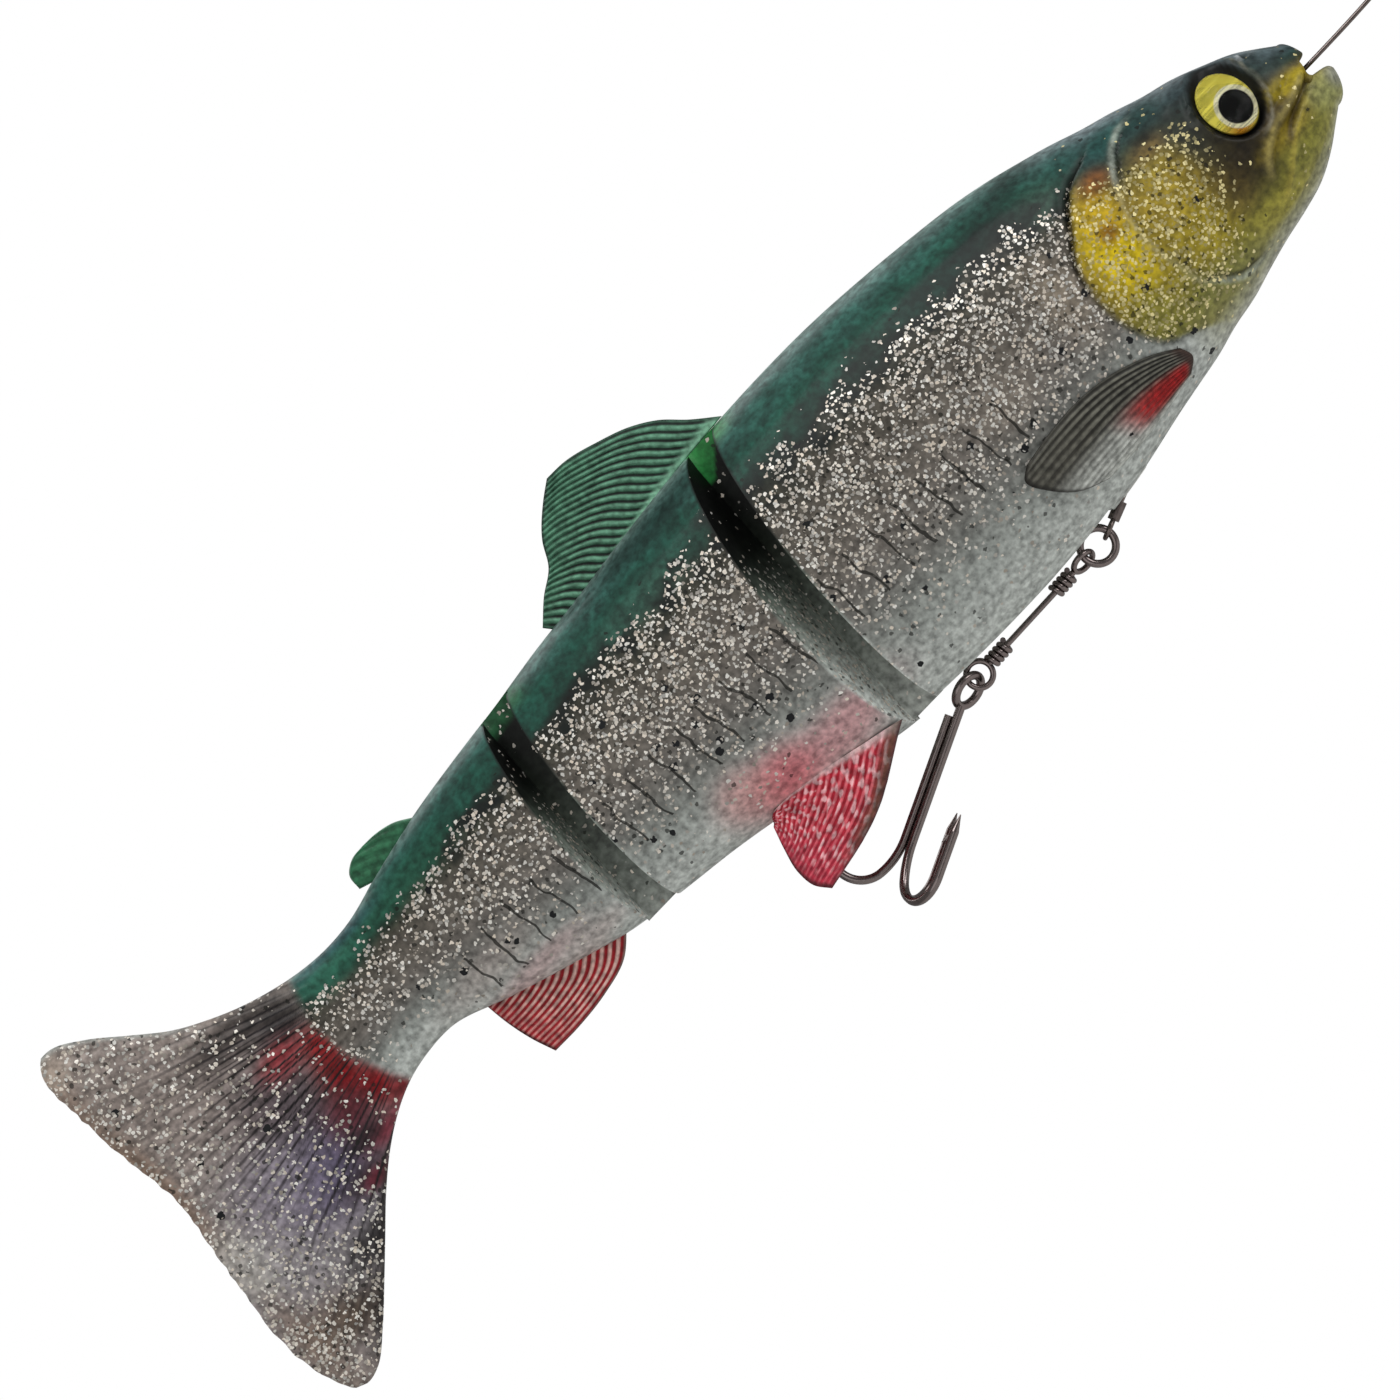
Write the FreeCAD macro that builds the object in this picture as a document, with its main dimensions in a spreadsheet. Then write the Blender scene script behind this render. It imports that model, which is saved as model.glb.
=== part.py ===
"""Jointed soft swimbait on a wire leader, with its belly rig, as a parametric FreeCAD document.

The origin is the centre of the leader's end loop. +X runs along the leader, from the fish's
nose to the loop, +Z points to the fish's back, and +Y to its left side. Lengths are in
millimetres. Places on the fish are given as "back", the distance behind the nose, and "up",
the height above the leader's line.
"""
import math
import os

import FreeCAD
import Part

Vector = FreeCAD.Vector
Rotation = FreeCAD.Rotation
Placement = FreeCAD.Placement

# The driving sizes: alias, value, what it is.
SIZES = [
    ("nose_reach", 26.5, "loop centre to the nose"),
    ("gap_lean", 0.094, "how far the joint faces lean back per mm down"),
    ("head_rear", 85.0, "apex of the head's rear face, behind the nose"),
    ("head_rear_vee", 0.304, "the same face's slope, per mm to the side"),
    ("middle_front", 89.2, "apex of the middle section's front face"),
    ("middle_front_vee", 0.452, "its slope"),
    ("middle_rear", 125.3, "apex of the middle section's rear face"),
    ("middle_rear_vee", 0.26, "its slope"),
    ("tail_front", 129.7, "apex of the tail section's front face"),
    ("tail_front_vee", 0.33, "its slope"),
    ("tail_rear", 157.0, "where the tail section thins into its flexible root"),
    ("fin_root", 167.0, "where the caudal fin starts"),
    ("web_thick", 2.4, "soft web across each joint"),
    ("mesh_thick", 0.5, "woven mesh inside the web and the sections"),
    ("fin_thick", 1.3, "inserted fins"),
    ("caudal_root_thick", 3.4, "caudal fin at its root"),
    ("caudal_tip_thick", 1.2, "caudal fin at its rear edge"),
    ("eye_high", 8.8, "eye's height"),
    ("eye_long", 6.6, "eye's length along the head"),
    ("eye_disc", 1.4, "printed disc's thickness"),
    ("eye_dome", 1.7, "clear dome's height"),
    ("eye_back", 11.9, "eye's centre, behind the nose"),
    ("eye_up", 3.85, "eye's centre, above the leader's line"),
    ("eye_side", 6.9, "eye's centre, from the middle plane"),
    ("tube_radius", 1.1, "line tube, outside"),
    ("tube_bore", 0.7, "line tube, inside radius"),
    ("tube_back", 2.6, "line tube's mouth end, behind the nose"),
    ("exit_back", 54.6, "line tube's belly end, behind the nose"),
    ("exit_up", -20.3, "line tube's belly end, below the leader's line"),
    ("leader_wire", 0.3, "leader's radius"),
    ("sleeve_radius", 0.95, "leader's sleeve, outside"),
    ("sleeve_long", 4.6, "its length"),
    ("crimp_radius", 0.75, "lower crimp, outside"),
    ("crimp_long", 2.5, "its length"),
    ("crimp_seat_radius", 1.25, "pocket in the belly for the lower crimp"),
    ("trace_wire", 0.38, "trace wire's radius"),
    ("hook_wire", 0.55, "hook wire's radius"),
    ("groove_half", 2.7, "half width of the belly groove for the trace"),
    ("groove_roof", -19.3, "height of the groove's roof"),
    ("ring_radius", 2.2, "connector ring, to the wire's middle"),
    ("ring_wire", 0.5, "connector ring's wire radius"),
    ("ring_seat", 1.14, "ring's centre to the trace's bearing in it"),
    ("trace_eye_tilt", 30, "trace's front eye, turned about the wire, in degrees"),
    ("hook_gape", 9.0, "treble's shank axis to each point"),
    ("hook_bend_start", 17.5, "treble's shank, from its eye to the bend"),
    ("hook_point", 12.5, "treble's points, along the shank from the eye"),
]

# Stations along the fish: behind the nose, back's height, belly's height, half width.
STATIONS = [
    (0.0, 1.6, -3.2, 2.2),
    (1.2, 3.9, -5.2, 3.8),
    (4.0, 5.9, -7.5, 5.4),
    (10.0, 9.2, -11.0, 7.4),
    (22.0, 13.3, -13.9, 9.4),
    (38.0, 18.2, -17.4, 11.2),
    (58.0, 21.2, -20.9, 12.4),
    (76.0, 21.9, -21.8, 12.4),
    (92.0, 21.1, -21.2, 11.7),
    (110.0, 19.1, -17.6, 10.5),
    (130.0, 16.9, -14.2, 8.7),
    (146.0, 14.6, -10.2, 6.3),
    (158.0, 11.7, -6.0, 3.7),
    (168.0, 12.1, -7.8, 1.7),
]

doc = FreeCAD.newDocument("swimbait")
sheet = doc.addObject("Spreadsheet::Sheet", "sizes")
parts = []


def fillSheet():
    row = 1
    for alias, value, note in SIZES:
        sheet.set(f"A{row}", alias)
        sheet.set(f"B{row}", str(value))
        sheet.set(f"C{row}", note)
        sheet.setAlias(f"B{row}", alias)
        row += 1
    for number, station in enumerate(STATIONS):
        for word, value in zip(("back", "top", "belly", "half"), station):
            sheet.set(f"A{row}", f"station {number} {word}")
            sheet.set(f"B{row}", str(value))
            sheet.setAlias(f"B{row}", f"{word}_of_{number}")
            row += 1
    doc.recompute()


def size(alias):
    return float(sheet.get(alias))


def at(back, up, side=0.0):
    """A point of the fish, in the part's frame."""
    return Vector(-size("nose_reach") - back, side, up)


def keep(thing, label):
    """Mark an object as a sub-part and give it the node's name."""
    thing.Label = label
    parts.append(thing)
    return thing


def bind(thing, **expressions):
    for prop, expression in expressions.items():
        thing.setExpression(prop.replace("__", "."), expression)


def boolean(kind, base, tool, name):
    made = doc.addObject(f"Part::{kind}", name)
    made.Base = base
    made.Tool = tool
    return made


def cutAll(base, tools, name):
    for number, tool in enumerate(tools):
        base = boolean("Cut", base, tool, f"{name}_cut_{number}")
    return base


def outline(sketch, runs):
    """Draw a closed outline: a run of two points is straight, a longer one is a curve."""
    for run in runs:
        points = [Vector(x, y, 0) for x, y in run]
        if len(points) == 2:
            sketch.addGeometry(Part.LineSegment(points[0], points[1]), False)
        else:
            curve = Part.BSplineCurve()
            curve.interpolate(points)
            sketch.addGeometry(curve, False)


def plane(body, role):
    return next(p for p in body.Origin.OriginFeatures if p.Role == role)


def padded(name, role, runs, thickness):
    """A body with one outline, padded to both sides of an origin plane."""
    body = doc.addObject("PartDesign::Body", name)
    sketch = body.newObject("Sketcher::SketchObject", f"{name}_outline")
    sketch.AttachmentSupport = [(plane(body, role), "")]
    sketch.MapMode = "FlatFace"
    outline(sketch, runs)
    pad = body.newObject("PartDesign::Pad", f"{name}_pad")
    pad.Profile = sketch
    pad.Midplane = True
    bind(pad, Length=thickness)
    return body


def sidePoints(runs):
    """Runs given as (back, up), as they lie in the fish's middle plane."""
    nose = size("nose_reach")
    return [[(-nose - back, up) for back, up in run] for run in runs]


def fin(name, runs, thickness="sizes.fin_thick"):
    return padded(name, "XZ_Plane", sidePoints(runs), thickness)


def cylinder(name, start, end, radius, label=None):
    """A round bar from one point to another; radius is an expression."""
    bar = doc.addObject("Part::Cylinder", name)
    bind(bar, Radius=radius)
    bar.Height = (end - start).Length
    bar.Placement = Placement(start, Rotation(Vector(0, 0, 1), end - start))
    return keep(bar, label) if label else bar


def ring(name, centre, axis, radius, wire):
    hoop = doc.addObject("Part::Torus", name)
    bind(hoop, Radius1=radius, Radius2=wire)
    hoop.Placement = Placement(centre, Rotation(Vector(0, 0, 1), axis))
    return hoop


def fishForm():
    """The whole fish without its fins, as one loft through elliptical stations."""
    rings = []
    upright = Rotation(Vector(0, 1, 0), -90)
    for number in range(len(STATIONS)):
        oval = doc.addObject("Part::Ellipse", f"station_{number}")
        oval.Placement = Placement(Vector(0, 0, 0), upright)
        bind(
            oval,
            MajorRadius=f"(sizes.top_of_{number} - sizes.belly_of_{number}) / 2",
            MinorRadius=f"sizes.half_of_{number}",
            Placement__Base__x=f"-sizes.nose_reach - sizes.back_of_{number}",
            Placement__Base__z=f"(sizes.top_of_{number} + sizes.belly_of_{number}) / 2",
        )
        rings.append(oval)
    form = doc.addObject("Part::Loft", "fish_form")
    form.Sections = rings
    form.Solid = True
    form.Ruled = False
    return form


def cell(name, front, frontVee, rear, rearVee):
    """The space one section may fill: its end faces are vees that lean back towards the belly."""
    deep = 60.0
    wide = 20.0
    lean = size("gap_lean")
    nose = size("nose_reach")
    corners = [
        (front + frontVee * wide, -wide),
        (front, 0.0),
        (front + frontVee * wide, wide),
        (rear + rearVee * wide, wide),
        (rear, 0.0),
        (rear + rearVee * wide, -wide),
    ]
    low = [Vector(-nose - back - lean * deep, side, -deep) for back, side in corners]
    face = Part.Face(Part.makePolygon(low + low[:1]))
    block = doc.addObject("Part::Feature", name)
    block.Shape = face.extrude(Vector(2 * lean * deep, 0, 2 * deep))
    return block


def span(name, front, rear, half, low, high):
    """A plain block between two distances behind the nose."""
    block = doc.addObject("Part::Box", name)
    block.Length = rear - front
    block.Width = 2 * half
    block.Height = high - low
    block.Placement = Placement(at(rear, low, -half), Rotation())
    return block


def mesh(name, outlineRuns):
    """A sheet of woven mesh in the middle plane, moulded into the soft body."""
    return keep(fin(f"{name}_sheet", outlineRuns, "sizes.mesh_thick"), name)


def capsule(name, start, end, radius):
    """A cast lead weight: a bar with round ends."""
    bar = Part.makeCylinder(radius, (end - start).Length, start, end - start)
    for point in (start, end):
        bar = bar.fuse(Part.makeSphere(radius, point))
    weight = doc.addObject("Part::Feature", f"{name}_casting")
    weight.Shape = bar.removeSplitter()
    return keep(weight, name)


def eye(name, side):
    """A printed disc and a clear dome, set into the side of the head."""
    centre = at(size("eye_back"), size("eye_up"), side * size("eye_side"))
    outward = Vector(0.10, side * 0.94, 0.32)
    turn = Rotation(Vector(1, 0, 0), Vector(0, 0, 1), outward, "ZXY")
    oval = doc.addObject("Part::Ellipse", f"{name}_oval")
    bind(oval, MajorRadius="sizes.eye_high / 2", MinorRadius="sizes.eye_long / 2")
    flip = Rotation(Vector(0, 0, 1), 90)
    oval.Placement = Placement(centre, turn.multiply(flip))
    disc = doc.addObject("Part::Extrusion", f"{name}_disc")
    disc.Base = oval
    disc.DirMode = "Custom"
    disc.Dir = outward * -1
    disc.Solid = True
    bind(disc, LengthFwd="sizes.eye_disc")
    dome = doc.addObject("Part::Ellipsoid", f"{name}_dome")
    dome.Angle1 = 0
    bind(
        dome,
        Radius1="sizes.eye_dome",
        Radius2="sizes.eye_long / 2",
        Radius3="sizes.eye_high / 2",
    )
    dome.Placement = Placement(centre, turn)
    return keep(disc, name), keep(dome, f"{name}_lens")


def lineDirection():
    """Unit vector down the line tube, from the mouth to the belly."""
    run = at(size("exit_back"), size("exit_up")) - at(0, 0)
    return run.normalize()


def onLine(distance):
    """A point on the line tube's axis, that far along it from the nose."""
    return at(0, 0) + lineDirection() * distance


def lineTube(form):
    start = onLine(size("tube_back"))
    end = at(size("exit_back"), size("exit_up"))
    outer = cylinder("tube_outer", start, end, "sizes.tube_radius")
    bore = cylinder("tube_bore_tool", start, end, "sizes.tube_bore")
    pipe = boolean("Cut", outer, bore, "tube_pipe")
    keep(boolean("Common", pipe, form, "tube_trimmed"), "line_tube")
    return outer


def tubePath(points):
    """Straight runs joined by arcs that each take 0.45 of the shorter run beside them."""
    edges = []
    radii = []
    start = points[0]
    for before, corner, after in zip(points, points[1:], points[2:]):
        into = corner - before
        out = after - corner
        shorter = min(into.Length, out.Length)
        turn = into.getAngle(out)
        reach = 0.45 * shorter
        radii.append(reach / math.tan(turn / 2))
        into.normalize()
        out.normalize()
        first = corner - into * reach
        last = corner + out * reach
        bisector = (out - into).normalize()
        middle = corner + bisector * (radii[-1] / math.cos(turn / 2) - radii[-1])
        edges.append(Part.LineSegment(start, first).toShape())
        edges.append(Part.Arc(first, middle, last).toShape())
        start = last
    edges.append(Part.LineSegment(start, points[-1]).toShape())
    return Part.Wire(edges), radii


def tube(name, points, radius):
    """A round wire along a route; its volume is compared with its section times its length."""
    path, radii = tubePath(points)
    heading = points[1] - points[0]
    section = Part.Wire(Part.makeCircle(radius, points[0], heading))
    solid = path.makePipeShell([section], True, False)
    expected = math.pi * radius**2 * path.Length
    print(f"{name}: {path.Length:.1f} mm long, arc radii {[round(r, 1) for r in radii]}")
    if abs(solid.Volume - expected) > 0.02 * expected:
        raise RuntimeError(f"{name}: volume {solid.Volume:.2f}, expected {expected:.2f}")
    return solid


def leader():
    """The wire in front of the mouth: straight, then an end loop crimped back on itself."""
    wire = size("leader_wire")
    route = [
        Vector(-size("nose_reach") - 2.4, 0, 0),
        Vector(-8.6, 0, 0),
        Vector(-3.4, 0, 3.4),
        Vector(1.9, 0, 3.9),
        Vector(5.3, 0, -0.4),
        Vector(1.9, 0, -4.7),
        Vector(-3.4, 0, -4.2),
        Vector(-8.6, 0, -0.72),
        Vector(-13.6, 0, -0.74),
    ]
    strand = doc.addObject("Part::Feature", "leader_strand")
    strand.Shape = tube("leader", route, wire)
    keep(strand, "leader")
    sleeve = doc.addObject("Part::Cylinder", "sleeve_blank")
    bind(sleeve, Radius="sizes.sleeve_radius", Height="sizes.sleeve_long")
    sleeve.Placement = Placement(Vector(-13.8, 0, -0.36), Rotation(Vector(0, 1, 0), 90))
    keep(boolean("Cut", sleeve, strand, "sleeve_body"), "leader_sleeve")


def rigLine():
    """The wire inside the tube, its lower loop and the crimp that closes it."""
    along = lineDirection()
    crimpEnd = onLine(61.7)
    run = cylinder("run_wire", onLine(2.9), crimpEnd, "sizes.leader_wire")
    loop = ring("run_loop", crimpEnd + along * 0.75, loopAxis(along), "1.25", "sizes.leader_wire")
    strand = keep(boolean("Fuse", run, loop, "run_strand"), "leader_run")
    blank = doc.addObject("Part::Cylinder", "crimp_blank")
    bind(blank, Radius="sizes.crimp_radius", Height="sizes.crimp_long")
    blank.Placement = Placement(onLine(58.8), Rotation(Vector(0, 0, 1), along))
    keep(boolean("Cut", blank, strand, "crimp_body"), "leader_crimp")
    return crimpEnd + along * 2.0


def loopAxis(along):
    """The axis of a wire loop that holds the given direction and the part's Y axis."""
    return along.cross(Vector(0, 1, 0))


def tilted(along, degrees):
    """The axis of an eye that is turned out of that plane about the wire's own direction."""
    return Rotation(along, degrees).multVec(loopAxis(along))


def connectorRing(bearing):
    centre = bearing + Vector(-1.3, 0, 0)
    hoop = ring("connector", centre, Vector(0, 1, 0), "sizes.ring_radius", "sizes.ring_wire")
    keep(hoop, "connector_ring")
    return centre + Vector(-size("ring_seat"), 0, 0)


def fuseAll(pieces, name):
    made = doc.addObject("Part::MultiFuse", name)
    made.Shapes = pieces
    return made


def traceWire(bearing):
    """A short wire with an eye wrapped at each end."""
    frontRadius = 1.5
    rearRadius = 1.65
    rear = at(82.3, -22.7)
    front = bearing + Vector(-frontRadius, 0, -0.05)
    along = (rear - front).normalize()
    wire = "sizes.trace_wire"
    pieces = [
        ring("trace_front_eye", front, tilted(along, size("trace_eye_tilt")), str(frontRadius), wire),
        ring("trace_rear_eye", rear, Vector(0, 1, 0), str(rearRadius), wire),
        cylinder("trace_shaft", front + along * frontRadius, rear - along * rearRadius, wire),
        cylinder("trace_front_wraps", front + along * 2.1, front + along * 4.9, "1.1"),
        cylinder("trace_rear_wraps", rear - along * 4.9, rear - along * 2.2, "1.1"),
    ]
    keep(fuseAll(pieces, "trace_body"), "trace_wire")
    return rear + Vector(-0.3, 0, 0)


def hookPath(reach, gape, start, point):
    """One hook in its own plane: along the shank, round the bend and back to the point."""
    offset = 0.66
    openAngle = math.radians(30)
    openRadius = 10.0
    turned = (start + openRadius * math.sin(openAngle), offset + openRadius * (1 - math.cos(openAngle)))
    tight = (gape - turned[1]) / (1 + math.cos(openAngle))
    centre = (turned[0] - tight * math.sin(openAngle), turned[1] + tight * math.cos(openAngle))

    def arcPoint(middle, radius, angle):
        return (middle[0] + radius * math.sin(angle), middle[1] - radius * math.cos(angle))

    openCentre = (start, offset + openRadius)
    arcs = [
        [(start, offset), arcPoint(openCentre, openRadius, openAngle / 2), turned],
        [turned, arcPoint(centre, tight, (openAngle + math.pi) / 2), (centre[0], gape)],
    ]
    return [(reach, offset), (start, offset)], arcs, [(centre[0], gape), (point + 2.2, gape)]


def hook(top, along, outward, reach):
    """One hook of the treble as a swept wire with a tapered point and a small barb."""
    wire = size("hook_wire")
    gape = size("hook_gape")
    point = size("hook_point")

    def place(pair):
        return top + along * pair[0] + outward * pair[1]

    shank, arcs, leg = hookPath(reach, gape, size("hook_bend_start"), point)
    edges = [Part.LineSegment(*map(place, shank)).toShape()]
    edges += [Part.Arc(*map(place, arc)).toShape() for arc in arcs]
    edges.append(Part.LineSegment(*map(place, leg)).toShape())
    section = Part.Wire(Part.makeCircle(wire, place(shank[0]), along))
    solid = Part.Wire(edges).makePipeShell([section], True, False)
    tip = Part.makeCone(wire, 0.06, 2.2, place(leg[1]), along * -1)
    barbFoot = place((point + 2.9, gape - 0.2))
    barb = Part.makeCone(0.3, 0.05, 1.5, barbFoot, along * 0.75 - outward * 0.66)
    return solid.fuse([tip, barb]).removeSplitter()


def treble(pivot):
    """A double hook bent from one wire, with its eye, and a single brazed to it."""
    eyeRadius = 2.1
    eyeAlong = Vector(-0.985, 0, -0.174)
    centre = pivot + eyeAlong * eyeRadius
    top = pivot + eyeAlong * 2 * eyeRadius
    along = Vector(-0.912, 0, -0.410).normalize()
    down = Vector(0.410, 0, -0.912).normalize()
    hooks = []
    for number, angle in enumerate((60, -60, 180)):
        outward = Rotation(along, angle).multVec(down)
        feature = doc.addObject("Part::Feature", f"hook_{number}")
        overlap = 1.6 if angle == 180 else 0.1
        feature.Shape = hook(top, along, outward, overlap)
        hooks.append(feature)
    eyelet = ring("treble_eye", centre, tilted(eyeAlong, 35), str(eyeRadius), "sizes.hook_wire")
    keep(fuseAll([eyelet, hooks[0], hooks[1]], "double_body"), "treble_double")
    keep(boolean("Cut", hooks[2], hooks[0], "single_body"), "treble_single")


def dorsalFin():
    return fin("dorsal", [
        [(81.4, 22.4), (84.5, 24.6), (87.2, 27.1), (90.2, 29.0), (94.1, 30.5), (99.0, 31.8),
         (101.7, 31.9)],
        [(101.7, 31.9), (104.0, 30.3), (107.5, 27.1), (109.4, 24.2), (112.4, 22.1), (115.2, 19.6)],
        [(115.2, 19.6), (113.0, 16.4)],
        [(113.0, 16.4), (91.0, 18.6)],
        [(91.0, 18.6), (90.2, 22.2)],
        [(90.2, 22.2), (81.4, 22.4)],
    ])


def adiposeFin():
    return fin("adipose", [
        [(142.5, 15.2), (145.0, 16.3), (148.0, 16.9), (151.5, 16.8), (153.3, 15.6), (153.5, 13.2)],
        [(153.5, 13.2), (152.6, 10.8)],
        [(152.6, 10.8), (143.5, 12.2)],
        [(143.5, 12.2), (142.5, 15.2)],
    ])


def analFin():
    return fin("anal", [
        [(133.5, -13.6), (137.5, -15.6), (142.0, -16.8), (147.0, -17.3), (151.0, -17.3)],
        [(151.0, -17.3), (152.0, -14.1), (153.0, -8.2)],
        [(153.0, -8.2), (151.6, -5.4)],
        [(151.6, -5.4), (134.6, -10.2)],
        [(134.6, -10.2), (133.5, -13.6)],
    ])


def pelvicFin(side):
    """One of the pair: it hangs from the belly and slants outwards."""
    word = "left" if side > 0 else "right"
    body = padded(f"{word}_pelvic", "XZ_Plane", [
        [(0.0, 0.0), (-5.0, -3.2), (-9.6, -5.6), (-14.0, -7.2), (-18.3, -8.2), (-20.7, -8.6)],
        [(-20.7, -8.6), (-22.2, -7.2), (-22.0, -2.6), (-20.2, 1.8)],
        [(-20.2, 1.8), (-18.6, 4.9)],
        [(-18.6, 4.9), (-1.6, 2.8)],
        [(-1.6, 2.8), (0.0, 0.0)],
    ], "sizes.fin_thick")
    body.Placement = Placement(at(92.8, -19.6, side * 4.8), Rotation(Vector(1, 0, 0), side * 20))
    return keep(body, f"{word}_pelvic_fin")


def caudalFin():
    """The tail fin, thinned evenly from its root to its rear edge."""
    nose = size("nose_reach")
    blade = fin("caudal_blade", [
        [(167.0, 11.9), (171.0, 12.7), (176.6, 15.0), (185.6, 20.9), (191.2, 25.9), (194.2, 27.2)],
        [(194.2, 27.2), (196.6, 26.8), (197.3, 24.2), (197.2, 13.3), (196.4, 4.0), (197.9, -5.4),
         (199.8, -17.3), (199.3, -24.6), (197.6, -28.3), (195.6, -29.3)],
        [(195.6, -29.3), (190.0, -25.0), (183.2, -18.3), (176.6, -13.0), (171.0, -9.0),
         (167.0, -7.1)],
        [(167.0, -7.1), (167.0, 11.9)],
    ], "sizes.caudal_root_thick")
    root = size("caudal_root_thick") / 2
    tip = size("caudal_tip_thick") / 2
    front = -nose - size("fin_root")
    rear = -nose - 201
    plan = [[(front, root), (rear, tip)], [(rear, tip), (rear, -tip)],
            [(rear, -tip), (front, -root)], [(front, -root), (front, root)]]
    taper = padded("caudal_taper", "XY_Plane", plan, "80")
    return keep(boolean("Common", blade, taper, "caudal_body"), "caudal_fin")


def hollow(name, base, tools, label):
    return keep(cutAll(base, tools, name), label)


def headSection(form, head, pipe, sockets):
    blank = boolean("Common", form, head, "head_blank")
    mouth = padded("mouth_cut", "XZ_Plane", sidePoints([
        [(-2.0, 2.6), (3.0, -0.1)], [(3.0, -0.1), (-2.0, -1.9)], [(-2.0, -1.9), (-2.0, 2.6)],
    ]), "20")
    groove = span("trace_groove", 57.4, 96, size("groove_half"), -40, size("groove_roof"))
    seat = cylinder("crimp_seat", onLine(58.0), onLine(68), "sizes.crimp_seat_radius")
    return hollow("head", blank, [mouth, groove, seat, pipe, *sockets], "head_section")


def middleSection(form, middle):
    blank = boolean("Common", form, middle, "middle_blank")
    dorsal = keep(dorsalFin(), "dorsal_fin")
    pelvics = [pelvicFin(side) for side in (-1, 1)]
    ballast = capsule("middle_ballast", at(100, -10.5), at(112, -8.8), 2.4)
    weave = mesh("middle_mesh", [
        [(88.4, 12.0), (90.2, -6.0)], [(90.2, -6.0), (125.8, -6.0)],
        [(125.8, -6.0), (124.2, 11.0)], [(124.2, 11.0), (88.4, 12.0)],
    ])
    hollow("middle", blank, [dorsal, *pelvics, ballast, weave], "middle_section")


def tailSection(form, tail):
    blank = boolean("Common", form, tail, "tail_blank")
    adipose = keep(adiposeFin(), "adipose_fin")
    anal = keep(analFin(), "anal_fin")
    weave = mesh("tail_mesh", [
        [(128.9, 11.0), (130.4, -4.5)], [(130.4, -4.5), (156.0, -1.0)],
        [(156.0, -1.0), (156.0, 7.0)], [(156.0, 7.0), (128.9, 11.0)],
    ])
    hollow("tail", blank, [adipose, anal, weave], "tail_section")


def web(name, form, gap, front, rear, low):
    """The soft web that joins two sections in the middle plane and bends as a living hinge."""
    strip = span(f"{name}_strip", front, rear, size("web_thick") / 2, low, 40)
    between = boolean("Common", gap, strip, f"{name}_between")
    keep(boolean("Common", form, between, f"{name}_trimmed"), name)


def flexRoot(form):
    """The thin soft root of the tail fin, which bends as the fish swims."""
    behind = cell("root_cell", size("tail_rear"), 0, size("fin_root") + 20, 0)
    block = span("root_block", size("tail_rear") - 10, size("fin_root"), 18, -50, 50)
    between = boolean("Common", behind, block, "root_between")
    keep(boolean("Common", form, between, "root_trimmed"), "tail_root")


def check():
    """Stop on any object that failed, and on any sub-part that isn't a sound solid."""
    doc.recompute()
    for thing in doc.Objects:
        if {"Invalid", "Error"} & set(thing.State):
            raise RuntimeError(f"{thing.Name} failed: {thing.State}")
    for part in parts:
        shape = part.Shape
        if shape.isNull() or not shape.isValid() or not shape.Solids:
            raise RuntimeError(f"{part.Label} is not a valid solid")
        print(f"{part.Label}: {shape.Volume:.1f} mm3, {len(shape.Solids)} solid(s)")


def export():
    os.makedirs("parts", exist_ok=True)
    for part in parts:
        part.Shape.exportStep(f"parts/{part.Label}.step")


def build():
    fillSheet()
    form = fishForm()
    head = cell("head_cell", -30, 0, size("head_rear"), size("head_rear_vee"))
    middle = cell("middle_cell", size("middle_front"), size("middle_front_vee"),
                  size("middle_rear"), size("middle_rear_vee"))
    tail = cell("tail_cell", size("tail_front"), size("tail_front_vee"), size("tail_rear"), 0)
    pipe = lineTube(form)
    ballast = capsule("head_ballast", at(62, -14.2), at(76, -14.2), 3.4)
    weave = mesh("head_mesh", [
        [(62.0, 15.0), (62.0, -8.0)], [(62.0, -8.0), (85.6, -8.0)],
        [(85.6, -8.0), (83.4, 15.0)], [(83.4, 15.0), (62.0, 15.0)],
    ])
    eyes = [*eye("right_eye", -1), *eye("left_eye", 1)]
    headSection(form, head, pipe, [ballast, weave, *eyes])
    leader()
    frontGap = cell("front_gap", size("head_rear"), size("head_rear_vee"),
                    size("middle_front"), size("middle_front_vee"))
    web("front_web", form, frontGap, 80, 96, -18.4)
    middleSection(form, middle)
    rearGap = cell("rear_gap", size("middle_rear"), size("middle_rear_vee"),
                   size("tail_front"), size("tail_front_vee"))
    web("rear_web", form, rearGap, 120, 136, -12.0)
    tailSection(form, tail)
    flexRoot(form)
    caudalFin()
    treble(traceWire(connectorRing(rigLine())))
    check()
    export()


build()
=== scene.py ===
import math

import bpy
import numpy as np
from mathutils import Matrix, Vector


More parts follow.
